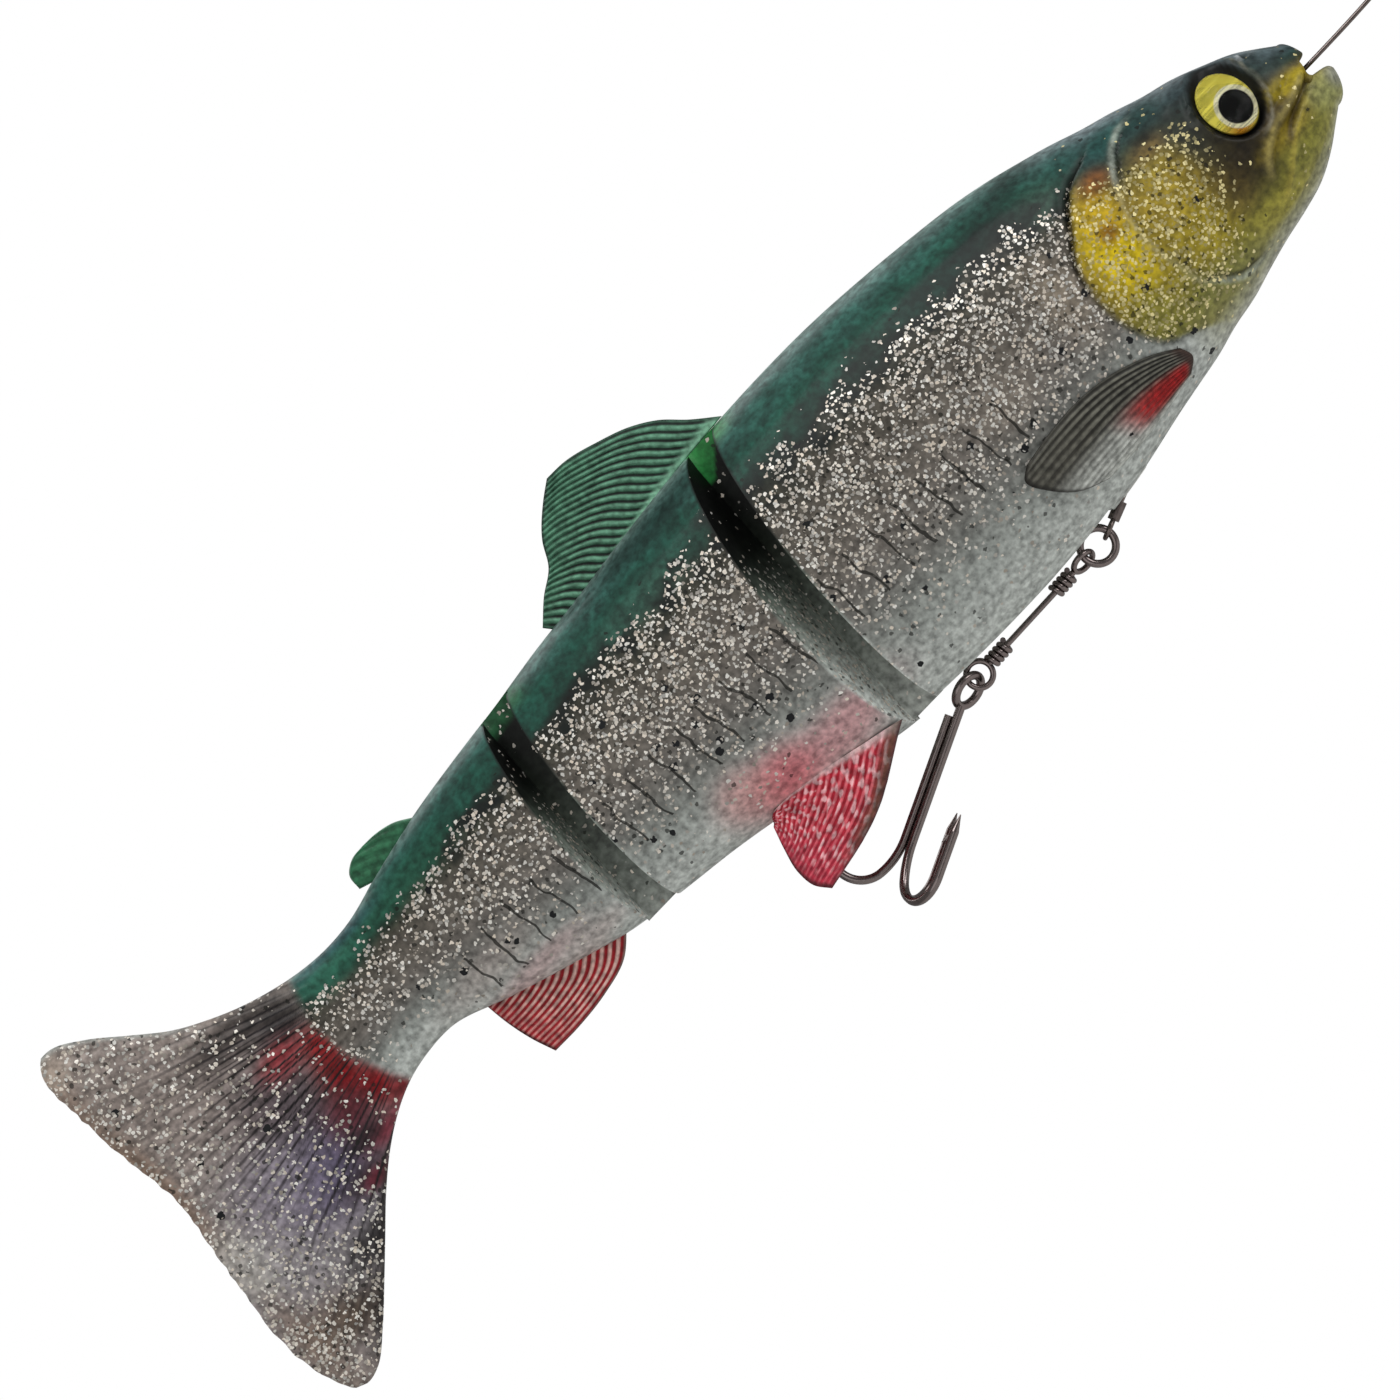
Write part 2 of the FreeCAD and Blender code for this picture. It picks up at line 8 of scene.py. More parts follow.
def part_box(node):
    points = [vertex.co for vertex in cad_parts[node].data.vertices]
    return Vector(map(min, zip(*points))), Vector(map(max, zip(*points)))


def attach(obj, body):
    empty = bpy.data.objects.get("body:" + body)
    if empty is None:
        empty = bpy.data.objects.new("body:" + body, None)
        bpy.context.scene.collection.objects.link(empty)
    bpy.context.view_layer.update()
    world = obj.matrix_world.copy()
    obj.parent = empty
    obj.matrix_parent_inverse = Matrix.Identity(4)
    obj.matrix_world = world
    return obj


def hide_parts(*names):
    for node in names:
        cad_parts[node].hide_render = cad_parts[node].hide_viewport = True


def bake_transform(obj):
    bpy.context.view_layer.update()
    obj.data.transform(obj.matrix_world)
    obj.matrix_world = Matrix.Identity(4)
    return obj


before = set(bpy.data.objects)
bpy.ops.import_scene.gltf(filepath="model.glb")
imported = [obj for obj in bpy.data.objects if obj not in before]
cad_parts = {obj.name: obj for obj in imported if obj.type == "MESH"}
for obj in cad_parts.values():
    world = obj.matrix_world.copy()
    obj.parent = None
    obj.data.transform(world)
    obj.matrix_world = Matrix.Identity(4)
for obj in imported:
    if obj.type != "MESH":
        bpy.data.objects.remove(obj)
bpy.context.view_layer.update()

mm = 0.001
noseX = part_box("head_section")[1].x  # the tip of the snout


def spot(back, up, side=0.0):
    # a place on the fish: mm behind the nose, above the leader's line, and to the left
    return Vector((noseX - back * mm, side * mm, up * mm))


def toLinear(colour):
    parts = [int(colour[i:i + 2], 16) / 255 for i in (1, 3, 5)]
    return [c / 12.92 if c <= 0.04045 else ((c + 0.055) / 1.055) ** 2.4 for c in parts]


def addNode(tree, kind, links=None, **settings):
    # one node, its settings, and what feeds its sockets: a socket, a node's first output, or a value
    node = tree.nodes.new(kind)
    for key, value in settings.items():
        setattr(node, key, value)
    for socket, source in (links or {}).items():
        if isinstance(source, bpy.types.Node):
            source = source.outputs[0]
        if isinstance(source, bpy.types.NodeSocket):
            tree.links.new(source, node.inputs[socket])
        else:
            node.inputs[socket].default_value = source
    return node


def newMaterial(name):
    material = bpy.data.materials.new(name)
    material.use_nodes = True
    material.node_tree.nodes.clear()
    return material, material.node_tree


def shadeWith(tree, sockets):
    shader = addNode(tree, "ShaderNodeBsdfPrincipled", sockets)
    addNode(tree, "ShaderNodeOutputMaterial", {"Surface": shader})


def paintOf(colour):
    return (*toLinear(colour), 1)


def dress(piece, material):
    piece.data.materials.clear()
    piece.data.materials.append(material)


def deselectAll():
    if bpy.context.object and bpy.context.object.mode != "OBJECT":
        bpy.ops.object.mode_set(mode="OBJECT")
    bpy.ops.object.select_all(action="DESELECT")


def onlySelect(piece):
    deselectAll()
    piece.select_set(True)
    bpy.context.view_layer.objects.active = piece


def settle(piece):
    # the place goes into the mesh, so the object sits at the origin
    onlySelect(piece)
    bpy.ops.object.transform_apply(location=True, rotation=True, scale=True)
    return piece


def tidyMesh(piece, gap=0.00001):
    onlySelect(piece)
    bpy.ops.object.mode_set(mode="EDIT")
    bpy.ops.mesh.select_all(action="SELECT")
    bpy.ops.mesh.remove_doubles(threshold=gap)
    bpy.ops.mesh.dissolve_degenerate(threshold=gap / 10)
    bpy.ops.mesh.normals_make_consistent(inside=False)
    bpy.ops.object.mode_set(mode="OBJECT")


def readPoints(piece):
    points = np.empty(len(piece.data.vertices) * 3)
    piece.data.vertices.foreach_get("co", points)
    return points.reshape(-1, 3)


def writePoints(piece, points):
    piece.data.vertices.foreach_set("co", points.ravel())
    piece.data.update()


def readNormals(piece):
    normals = np.empty(len(piece.data.vertices) * 3)
    piece.data.vertices.foreach_get("normal", normals)
    return normals.reshape(-1, 3)


def fishPlaces(piece):
    points = readPoints(piece)
    return (noseX - points[:, 0]) / mm, points[:, 2] / mm, points[:, 1] / mm


def fishPoints(back, up, side):
    return np.stack([noseX - back * mm, side * mm, up * mm], axis=1)


def ease(value, low, high):
    t = np.clip((value - low) / (high - low), 0, 1)
    return t * t * (3 - 2 * t)


def smoothThrough(keys, values, at):
    # a smooth curve through the given values
    keys, values = np.asarray(keys, float), np.asarray(values, float)
    slopes = np.gradient(values, keys)
    at = np.clip(at, keys[0], keys[-1])
    i = np.clip(np.searchsorted(keys, at) - 1, 0, len(keys) - 2)
    h = keys[i + 1] - keys[i]
    t = (at - keys[i]) / h
    rise = (2 * t**3 - 3 * t**2 + 1) * values[i] + (3 * t**2 - 2 * t**3) * values[i + 1]
    bend = (t**3 - 2 * t**2 + t) * slopes[i] + (t**3 - t**2) * slopes[i + 1]
    return rise + bend * h


def alongLine(line, t):
    # points of a smooth line through a few places, t from 0 to 1
    line = np.asarray(line, float)
    steps = np.r_[0, np.cumsum(np.linalg.norm(np.diff(line, axis=0), axis=1))]
    keys = steps / steps[-1]
    return np.stack([smoothThrough(keys, line[:, k], t) for k in range(line.shape[1])], axis=-1)


def fromLine(back, up, line, pieces=24):
    # distance to a smooth line, which side of it, and how far along it, 0 to 1
    curve = alongLine(line, np.linspace(0, 1, pieces + 1))
    places = np.stack([back, up], axis=1)
    best = np.full(len(back), 1e9)
    side = np.zeros(len(back))
    part = np.zeros(len(back))
    for k in range(pieces):
        start, step = curve[k], curve[k + 1] - curve[k]
        t = np.clip(((places - start) @ step) / (step @ step), 0, 1)
        away = places - start - t[:, None] * step
        distance = np.linalg.norm(away, axis=1)
        near = distance < best
        cross = step[0] * away[:, 1] - step[1] * away[:, 0]
        best = np.where(near, distance, best)
        side = np.where(near, np.sign(cross), side)
        part = np.where(near, (k + t) / pieces, part)
    return best, side, part


def hump(away, wide, at=0.0):
    # a soft ridge, 1 in its middle
    return np.exp(-((away - at) / wide) ** 2)


def fadeEnds(part, reach=0.12):
    return ease(part, 0, reach) * (1 - ease(part, 1 - reach, 1))


def waves(back, up, side, size, seed, count=7):
    # smooth uneven variation, about size mm across, from -1 to 1
    draw = np.random.default_rng(seed)
    total = np.zeros(len(back))
    for _ in range(count):
        way = draw.normal(size=3)
        way /= np.linalg.norm(way) * size * draw.uniform(0.7, 1.5)
        total += np.sin(6.283 * (back * way[0] + up * way[1] + side * way[2]) + draw.uniform(0, 6.3))
    return 2 * total / count


def gridPiece(name, columns, rows, place, marks=None):
    # a plain grid wrapped into shape; place() gets its two directions, 0 to 1, and so does marks()
    deselectAll()
    bpy.ops.mesh.primitive_grid_add(x_subdivisions=columns, y_subdivisions=rows, size=2)
    piece = bpy.context.object
    piece.name = piece.data.name = name
    along, around = (readPoints(piece)[:, :2].T + 1) / 2
    if marks:
        markPoints(piece, marks(along, around))
    writePoints(piece, fishPoints(*place(along, around)))
    tidyMesh(piece)
    return piece


def closeEnds(piece):
    # open rims get a face
    onlySelect(piece)
    bpy.ops.object.mode_set(mode="EDIT")
    bpy.ops.mesh.select_all(action="DESELECT")
    bpy.ops.mesh.select_non_manifold()
    bpy.ops.mesh.fill_holes(sides=0)
    bpy.ops.mesh.select_all(action="SELECT")
    bpy.ops.mesh.normals_make_consistent(inside=False)
    bpy.ops.object.mode_set(mode="OBJECT")


def smooth(piece, angle=50):
    onlySelect(piece)
    bpy.ops.object.shade_smooth_by_angle(angle=math.radians(angle))


def emboss(piece, relief):
    # moves every point out along the surface, by mm
    points = readPoints(piece)
    heights = relief(*fishPlaces(piece))
    writePoints(piece, points + readNormals(piece) * heights[:, None] * mm)


def paintPoints(piece, colours):
    layer = piece.data.color_attributes.new("paint", "FLOAT_COLOR", "POINT")
    full = np.ones((len(colours), 4))
    full[:, :3] = np.clip(colours, 0, 1)
    layer.data.foreach_set("color", full.ravel())


def markPoints(piece, marks):
    # one attribute to every mark, 0 to 1 at each point
    for name, values in marks.items():
        layer = piece.data.attributes.new(name, "FLOAT", "POINT")
        layer.data.foreach_set("value", np.clip(values, 0, 1).astype(np.float32))


def finishSoft(piece, colours, marks, material, angle=50):
    paintPoints(piece, colours)
    markPoints(piece, marks)
    smooth(piece, angle)
    dress(piece, material)


def blendTo(colours, colour, weight):
    target = np.asarray(toLinear(colour))
    return colours + (target - colours) * np.clip(weight, 0, 1)[:, None]


def ramp(values, stops):
    # colours along a run of stops
    keys = [key for key, _ in stops]
    table = np.array([toLinear(colour) for _, colour in stops])
    return np.stack([np.interp(values, keys, table[:, k]) for k in range(3)], axis=1)


def airbrush(colours, back, up, dabs):
    # soft dabs of paint
    for atBack, atUp, wide, tall, colour, strength in dabs:
        away = ((back - atBack) / wide) ** 2 + ((up - atUp) / tall) ** 2
        colours = blendTo(colours, colour, strength * np.exp(-away ** 1.5))
    return colours


view = {
    "centre": (-0.1347, 0.0, -0.0003),
    "distance": 1.1,
    "frameSide": 0.1707,  # what the picture spans at the fish
    "roll": 46.08,        # the nose points up to the right
    "sensor": 36,
}


def makeCamera():
    data = bpy.data.cameras.new("camera")
    data.sensor_width = view["sensor"]
    data.lens = data.sensor_width * view["distance"] / view["frameSide"]
    data.clip_start, data.clip_end = 0.05, 20
    camera = bpy.data.objects.new("camera", data)
    bpy.context.scene.collection.objects.link(camera)
    level = Matrix.Rotation(math.radians(90), 3, "X")
    rolled = Matrix.Rotation(math.radians(view["roll"]), 3, "Y") @ level
    camera.matrix_world = rolled.to_4x4()
    camera.location = Vector(view["centre"]) - Vector((0, view["distance"], 0))
    bpy.context.scene.camera = camera


studio = {
    "floorHeight": -0.3,
    "floorRadius": 0.66,
    "floorColour": "#f4f4f2",
    "worldSeen": 1.0,
    "worldLight": 0.22,
    # name, place, watts, size
    "lamps": [
        ("keyLamp", (0.05, -0.55, 0.75), 3.4, (0.5, 0.5)),
        ("backLamp", (-0.25, 0.45, 0.7), 1.5, (0.6, 0.3)),
        ("fillLamp", (-0.5, -0.8, 0.05), 1.1, (0.7, 0.7)),
        ("noseLamp", (0.5, -0.4, 0.2), 1.5, (0.3, 0.5)),
    ],
}


def makeStudio():
    world = bpy.data.worlds.new("studio")
    bpy.context.scene.world = world
    world.use_nodes = True
    tree = world.node_tree
    tree.nodes.clear()
    seen = addNode(tree, "ShaderNodeLightPath").outputs["Is Camera Ray"]
    strength = addNode(tree, "ShaderNodeMix", {0: seen, 2: studio["worldLight"], 3: studio["worldSeen"]})
    sky = addNode(tree, "ShaderNodeBackground", {"Color": (1, 1, 1, 1), "Strength": strength})
    addNode(tree, "ShaderNodeOutputWorld", {"Surface": sky})
    for name, place, watts, (wide, tall) in studio["lamps"]:
        data = bpy.data.lights.new(name, "AREA")
        data.shape = "RECTANGLE"
        data.size, data.size_y, data.energy = wide, tall, watts
        lamp = bpy.data.objects.new(name, data)
        bpy.context.scene.collection.objects.link(lamp)
        lamp.location = place
        aim = Vector(view["centre"]) - Vector(place)
        lamp.rotation_euler = aim.to_track_quat("-Z", "Y").to_euler()
    deselectAll()
    bpy.ops.mesh.primitive_circle_add(vertices=96, radius=studio["floorRadius"], fill_type="NGON",
                                      location=(view["centre"][0], 0, studio["floorHeight"]))
    floor = bpy.context.object
    floor.name = "floor"
    # matt backdrop paper: white, no shine
    material, tree = newMaterial("matt white backdrop paper")
    shadeWith(tree, {"Base Color": paintOf(studio["floorColour"]), "Roughness": 0.9})
    dress(floor, material)
    bpy.context.scene.view_settings.view_transform = "Standard"


makeCamera()
makeStudio()
print("camera, lamps and floor")


leader = {  # a free length of coated wire
    "radius": 0.3,
    "length": 57.0,
    # from the mouth, out to the end loop and back to the sleeve
    "route": [(-28.9, 0), (-8.6, 0), (-3.4, 3.4), (1.9, 3.9), (5.3, -0.4), (1.9, -4.7),
              (-3.4, -4.2), (-8.6, -0.72), (-13.6, -0.74)],
}


def makeLeader():
    data = bpy.data.curves.new("leaderWire", "CURVE")
    data.dimensions = "3D"
    line = data.splines.new("NURBS")
    line.points.add(len(leader["route"]) - 1)
    for point, (x, z) in zip(line.points, leader["route"]):
        point.co = (x * mm, 0, z * mm, 1)
        point.radius = leader["radius"] * mm
    line.order_u = 3
    line.use_endpoint_u = True
    line.resolution_u = 16
    data.bevel_depth = 1.0  # the points carry the wire's radius
    data.bevel_resolution = 5
    data.use_fill_caps = True
    wire = bpy.data.objects.new("leaderWire", data)
    bpy.context.scene.collection.objects.link(wire)
    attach(wire, "head")
    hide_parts("leader")
    return wire


leaderWire = makeLeader()
print("leader")


form = [  # the fish: back, top, belly, half width, in mm
    (2, 4.4, -6.1, 4.5), (4, 5.9, -7.5, 5.4), (6, 7.3, -8.9, 6.2), (10, 9.2, -11.0, 7.4),
    (14, 10.8, -12.1, 8.2), (18, 11.9, -12.9, 8.9), (22, 13.3, -13.9, 9.4), (26, 14.5, -15.0, 9.9),
    (30, 15.9, -15.7, 10.4), (34, 17.1, -16.7, 10.8), (38, 18.2, -17.4, 11.2), (42, 19.1, -18.1, 11.5),
    (50, 20.3, -19.7, 12.0), (58, 21.2, -20.9, 12.4), (66, 21.8, -21.6, 12.5), (76, 21.9, -21.8, 12.4),
    (86, 21.5, -21.5, 12.0), (92, 21.1, -21.1, 11.7), (100, 20.3, -19.6, 11.2), (110, 19.1, -17.6, 10.5),
    (118, 18.3, -16.1, 9.8), (126, 17.2, -15.0, 9.1), (134, 16.3, -13.8, 8.2), (142, 15.2, -11.5, 7.0),
    (150, 13.6, -8.9, 5.4), (158, 11.7, -6.1, 3.7), (162, 11.5, -6.2, 2.9), (166, 11.9, -7.0, 2.2),
    (170, 12.8, -8.7, 1.8), (174, 14.1, -11.2, 1.5), (178, 15.9, -14.4, 1.3), (182, 18.2, -18.1, 1.15),
    (186, 21.5, -21.8, 1.05), (190, 24.9, -25.4, 0.95), (194, 27.2, -28.4, 0.85), (196, 27.2, -28.9, 0.8),
    (200, 25.6, -26.8, 0.7),
]
formKeys = [row[0] for row in form]

joints = {
    "lean": 0.094,        # the faces lean back towards the belly
    # each face is a vee: where it starts, and its slope to the sides
    "headRear": (85.0, 0.304),
    "middleFront": (89.2, 0.452),
    "middleRear": (125.3, 0.26),
    "tailFront": (129.7, 0.33),
}


def sectionAt(back):
    top, belly, half = (smoothThrough(formKeys, [row[k] for row in form], back) for k in (1, 2, 3))
    return top, belly, half


def flankSide(back, up):
    # how far out the flank is at a place seen from the side
    top, belly, half = sectionAt(back)
    high = (up - (top + belly) / 2) / ((top - belly) / 2)
    return half * np.sqrt(np.clip(1 - high**2, 0.0, 1))


def vee(face):
    apex, slope = joints[face]
    return lambda up, side: apex + slope * np.abs(side) - joints["lean"] * up


snout = {
    "start": 2.0,
    "upperReach": 1.75,     # how far the upper and the lower jaw stand out in front
    "lowerReach": 3.05,
    "jawFrom": -2.6,        # heights between which one jaw gives way to the other
    "jawTo": -0.4,
    "mouthHeight": -0.15,
    "mouthDepth": 3.6,
    "mouthHalf": 1.15,
}


def snoutFace(up, side):
    top, belly, half = sectionAt(np.full(len(up), snout["start"]))
    middleUp, high = (top + belly) / 2, (top - belly) / 2
    dome = np.sqrt(np.clip(1 - ((up - middleUp) / high) ** 2 - (side / half) ** 2, 0, 1))
    lowerJaw = 1 - ease(up, snout["jawFrom"], snout["jawTo"])
    reach = snout["upperReach"] + (snout["lowerReach"] - snout["upperReach"]) * lowerJaw
    mouth = np.exp(-((up - snout["mouthHeight"]) / snout["mouthHalf"]) ** 4) * ease(dome, 0.05, 0.75)
    return snout["start"] - reach * dome + snout["mouthDepth"] * mouth


def wrapBody(front, rear, body, cap, bladeFrom=None):
    # a section of the fish between two end faces; cap is the number of rings on each face
    columns = body + 2 * cap
    bladeGrows = 14      # mm over which the round body turns into the flat blade
    settleRounds = 12    # each ring's place and its outline depend on each other

    def place(along, around):
        ring = along * columns
        t = np.clip((ring - cap) / body, 0, 1)
        near = np.sin(np.clip(ring / cap, 0, 1) * math.pi / 2)
        far = np.sin(np.clip((columns - ring) / cap, 0, 1) * math.pi / 2)
        scale = near * far
        turn = around * 2 * math.pi
        across, rise = np.cos(turn), np.sin(turn)
        back = 100 + 0 * t
        for _ in range(settleRounds):
            top, belly, half = sectionAt(back)
            middleUp, high = (top + belly) / 2, (top - belly) / 2
            if bladeFrom is None:
                side, up = half * across * scale, middleUp + high * rise * scale
            else:
                flat = ease(back, bladeFrom, bladeFrom + bladeGrows)
                steady = 2 / math.pi * np.arcsin(np.clip(rise, -1, 1))
                level = (1 - flat) * rise + flat * steady
                edge = np.sqrt(np.clip(1 - np.abs(steady) ** 10, 0, 1))
                thick = (1 - flat) * np.abs(across) + flat * edge
                shrink = np.where(t < 0.5, near, 1)
                side = half * np.sign(across) * thick * scale
                up = middleUp + high * level * shrink
            ahead, behind = front(up, side), rear(up, side)
            back = ahead + (behind - ahead) * t
        return back, up, side

    return columns, place


head = {  # lines are back, up, seen from the side
    "columns": 196, "rows": 288, "cap": 14,
    "gillEdge": [(26.1, 13.4), (29, 11.7), (32.2, 10.7), (34.6, 8.7), (36.5, 6.3), (38.5, 4.0),
                 (39.9, 0.4), (40.3, -4.3), (39.5, -7.9), (38.1, -10.7), (34.6, -12.6), (31, -14.6)],
    "cheekEdge": [(20.3, 10.7), (23.5, 10.5), (25.3, 9.5), (26.6, 8.1), (29.8, 2.0), (30.0, -3.6),
                  (29.4, -5.9), (29.0, -8.7), (27.4, -9.9), (25.9, -11.3), (23.5, -11.9), (19.5, -11.9)],
    "upperJaw": [(2.0, 0.3), (4.0, -0.6), (6.0, -1.3), (10.0, -2.3), (13.2, -4.3), (15.0, -7.0)],
    "lipFold": [(3.4, -1.9), (6.5, -3.4), (9.5, -5.2), (12.6, -7.6), (15.8, -9.6)],
    "mouthLine": [(1.5, -0.3), (3.5, -1.5), (6.0, -2.6), (8.5, -3.9), (10.5, -5.6)],
    "throat": [(5.0, -8.0), (10.0, -9.9), (16.0, -11.6), (22.0, -12.9), (29.0, -14.4)],
    "nostril": (5.9, 6.3),
    "eye": (11.6, 3.9), "socketLong": 4.0, "socketHigh": 5.0,
    "brow": [(5.0, 4.6), (8.0, 7.6), (12.0, 9.3), (16.0, 9.2), (19.0, 7.6)],
    # line, how far it stands out, half width, how soon its ends fade
    "folds": [("lipFold", 0.42, 0.6, 0.15), ("throat", -0.22, 0.6, 0.15), ("brow", 0.4, 1.3, 0.25)],
    # line, paint, strength, half width
    "linePaint": [("upperJaw", "#a99b5c", 0.6, 0.45), ("lipFold", "#b9a94a", 0.5, 0.4),
                  ("throat", "#6c6c4a", 0.4, 0.5), ("mouthLine", "#4a3a14", 0.8, 0.45)],
    "flankFrom": 1.5, "flankTo": 3.5,  # how far out the flank begins
    # painted shade in the gill groove and along the cheek's edge, and a painted highlight just outside that
    # edge
    "grooveShade": "#17150f", "cheekShade": "#1f211a", "cheekEdgeHighlight": "#b9c2b4",
    # painted shade in the eye's socket and the nostril's pit, painted highlights on the socket's rim towards
    # the snout and on the nostril's upper rim
    "socketShade": "#0c0c0b", "socketRimHighlight": "#8d8a78", "nostrilShade": "#101415", "nostrilHighlight": "#dfe4e6",
    "mouthPaint": "#5a4a24",
    "grooveHalf": 2.7, "grooveRoof": -19.3, "grooveFrom": 57.4,
    "exitBack": 54.6, "exitEnd": 61.0, "lineSlope": -0.3718, "exitHalf": 1.3,
}


def cheekSide(back, up, line):
    # distance from a line of the head, which places are on its snout side, and how far along it
    away, hand, part = fromLine(back, up, head[line])
    snoutHand = fromLine(np.array([20.0]), np.array([0.0]), head["gillEdge"])[1]
    return away, hand == snoutHand, part


def onHeadFlank(side):
    return ease(np.abs(side), head["flankFrom"], head["flankTo"])


def fromEye(back, up):
    # 1 on the rim of the eye's socket
    eyeBack, eyeUp = head["eye"]
    return np.hypot((back - eyeBack) / head["socketLong"], (up - eyeUp) / head["socketHigh"])


def fromNostril(back, up):
    return np.hypot(back - head["nostril"][0], up - head["nostril"][1])


def headRelief(back, up, side):
    onFlank = onHeadFlank(side)
    away, inside, part = cheekSide(back, up, "gillEdge")  # the gill cover stands over a groove
    fade = fadeEnds(part, 0.15) * onFlank * (1 - 0.55 * ease(part, 0.35, 0.6))
    height = fade * np.where(inside, 0.6 * np.exp(-away / 5.0), -0.5 * hump(away, 0.8))
    height -= fade * 0.35 * hump(away, 0.5, 0.1)
    away, inside, part = cheekSide(back, up, "cheekEdge")
    fade = fadeEnds(part) * onFlank * (1 - 0.6 * ease(part, 0.22, 0.32) * (1 - ease(part, 0.68, 0.8)))
    height += fade * np.where(inside, 0.3 * np.exp(-away / 3.0), -0.25 * hump(away, 0.7))
    away, _, part = fromLine(back, up, head["upperJaw"])
    fade = fadeEnds(part, 0.1) * ease(np.abs(side), 0.5, 2)
    height += fade * (0.45 * hump(away, 0.8) - 0.28 * hump(away, 0.5, 1.25))
    away, _, part = fromLine(back, up, head["mouthLine"])
    height -= ease(1 - part, 0, 0.3) * ease(back, 1.2, 2.5) * 0.7 * hump(away, 0.55)
    for line, rise, wide, ends in head["folds"]:
        away, _, part = fromLine(back, up, head[line])
        height += fadeEnds(part, ends) * onFlank * rise * hump(away, wide)
    ring = fromEye(back, up)
    height += onFlank * (0.35 * hump(ring, 0.09, 1.12) - 0.9 * (1 - ease(ring, 0.86, 1.02)))
    pit = fromNostril(back, up)
    return height + onFlank * (0.3 * hump(pit, 0.3, 0.75) - 0.6 * hump(pit, 0.4))


def carveBelly(piece):
    # the groove for the trace and the trough where the line leaves the belly
    back, up, side = fishPlaces(piece)
    roof, grooveHalf, half = head["grooveRoof"], head["grooveHalf"], head["exitHalf"]
    low = 1 - ease(np.abs(side), grooveHalf - 0.1, grooveHalf + 0.35)
    low = low * ease(back, head["grooveFrom"] - 0.9, head["grooveFrom"]) * (up < roof)
    up = up + (roof - up) * low
    trough = head["lineSlope"] * back + np.sqrt(np.clip(half**2 - side**2, 0, None))
    near = (np.abs(side) < half) & (back > head["exitBack"]) & (back < head["exitEnd"]) & (up < roof + 0.6)
    up = np.where(near, np.maximum(up, trough), up)
    writePoints(piece, fishPoints(back, up, side))


flank = [  # paint from the belly, 0, to the back, 1; the last two stops, paler along the very top of the back, are a painted highlight
    (0.00, "#b2b7b2"), (0.05, "#c5cac5"), (0.12, "#b9beb9"), (0.19, "#a3a8a3"), (0.26, "#888b86"),
    (0.33, "#74736e"), (0.42, "#6e6963"), (0.55, "#68625a"), (0.66, "#57524a"), (0.74, "#46443a"),
    (0.79, "#252a23"), (0.82, "#1a3a30"), (0.85, "#1d4e40"), (0.90, "#215648"), (0.95, "#35645a"),
    (0.98, "#5f807a"), (1.0, "#8ea6a0"),
]
gapFaceShade = [  # the cut faces at the joints, by height: painted shade, black at the top where the groove lies in deep shadow, and lightened low down to make up for the shade in the gap
    (-21, "#d5d9d4"), (-15, "#c5cac5"), (-9, "#b0b6b0"), (-4, "#949b93"), (1, "#6e776e"), (4, "#434b43"),
    (7, "#1b201c"), (10, "#0e100e"), (22, "#090a0a"),
]
# the cheek's paint from the throat, 0, to the top, 1; the paler stops from 0.9 up, along the top of the head,
# are a painted highlight
cheek = [
    (0.00, "#c2c4b8"), (0.04, "#b0b090"), (0.09, "#88854f"), (0.18, "#787632"), (0.30, "#7e742c"),
    (0.45, "#857428"), (0.60, "#7a6628"), (0.69, "#5f5528"), (0.75, "#35402e"), (0.82, "#27443f"),
    (0.90, "#41565a"), (0.95, "#66777b"), (1.0, "#9aa6aa"),
]
headDabs = [  # back, up, reach along, reach up, colour, strength
    (34.5, 1.0, 4.0, 7.4, "#dcc010", 0.88), (32.6, 6.0, 3.4, 3.4, "#c7a418", 0.7),
    (33.4, 3.2, 1.5, 1.4, "#7a3f14", 0.75), (30.2, 8.6, 2.4, 1.5, "#8a4c1c", 0.75),
    (36.0, -7.5, 3.0, 3.4, "#7f7c34", 0.7), (24.5, 1.5, 5.2, 5.5, "#b39c30", 0.6),
    (25.0, -5.5, 4.5, 3.5, "#b09c26", 0.6), (22.5, 7.0, 3.2, 1.4, "#8a6a38", 0.5),
    (19.5, -3.0, 2.6, 5.0, "#857434", 0.5), (18.0, 4.0, 2.2, 5.0, "#343a2c", 0.8),
    (12.8, 2.6, 7.2, 7.8, "#151816", 0.95), (15.2, -3.2, 5.0, 4.0, "#1d1710", 0.92),
    (19.0, -4.0, 2.4, 3.0, "#5a4a24", 0.5), (8.8, -1.2, 3.4, 2.0, "#463714", 0.75),
    (6.0, 0.7, 2.8, 1.2, "#8a7a12", 0.85), (4.0, 0.0, 2.6, 1.0, "#b09c18", 0.9),
    (9.5, -3.9, 4.5, 1.3, "#94801e", 0.65), (2.0, -3.5, 3.0, 2.6, "#a5a86e", 0.7),
    (-0.5, -3.2, 1.5, 1.8, "#a3a596", 0.9), (7.5, -6.6, 5.5, 2.3, "#96923c", 0.55),
    (16.0, -9.4, 6.0, 1.7, "#a89e3a", 0.6), (27.0, -11.0, 5.0, 2.0, "#8a8a4a", 0.5),
    # the pale grey dabs on the snout's top edge, at 3 and 7.5 mm, carry on the painted highlight along the
    # top
    (4.5, 4.0, 3.2, 2.2, "#34413f", 0.8), (3.0, 4.9, 2.2, 1.2, "#56666a", 0.8),
    (7.5, 8.0, 4.0, 1.3, "#66757a", 0.6), (20.5, 10.6, 4.0, 1.8, "#1c3a35", 0.85),
    (25.5, 11.6, 3.5, 1.8, "#1b4f48", 0.8), (31.0, 13.2, 4.2, 2.2, "#1f5249", 0.7),
    (22.0, 8.2, 1.6, 0.9, "#11140f", 0.8),
]
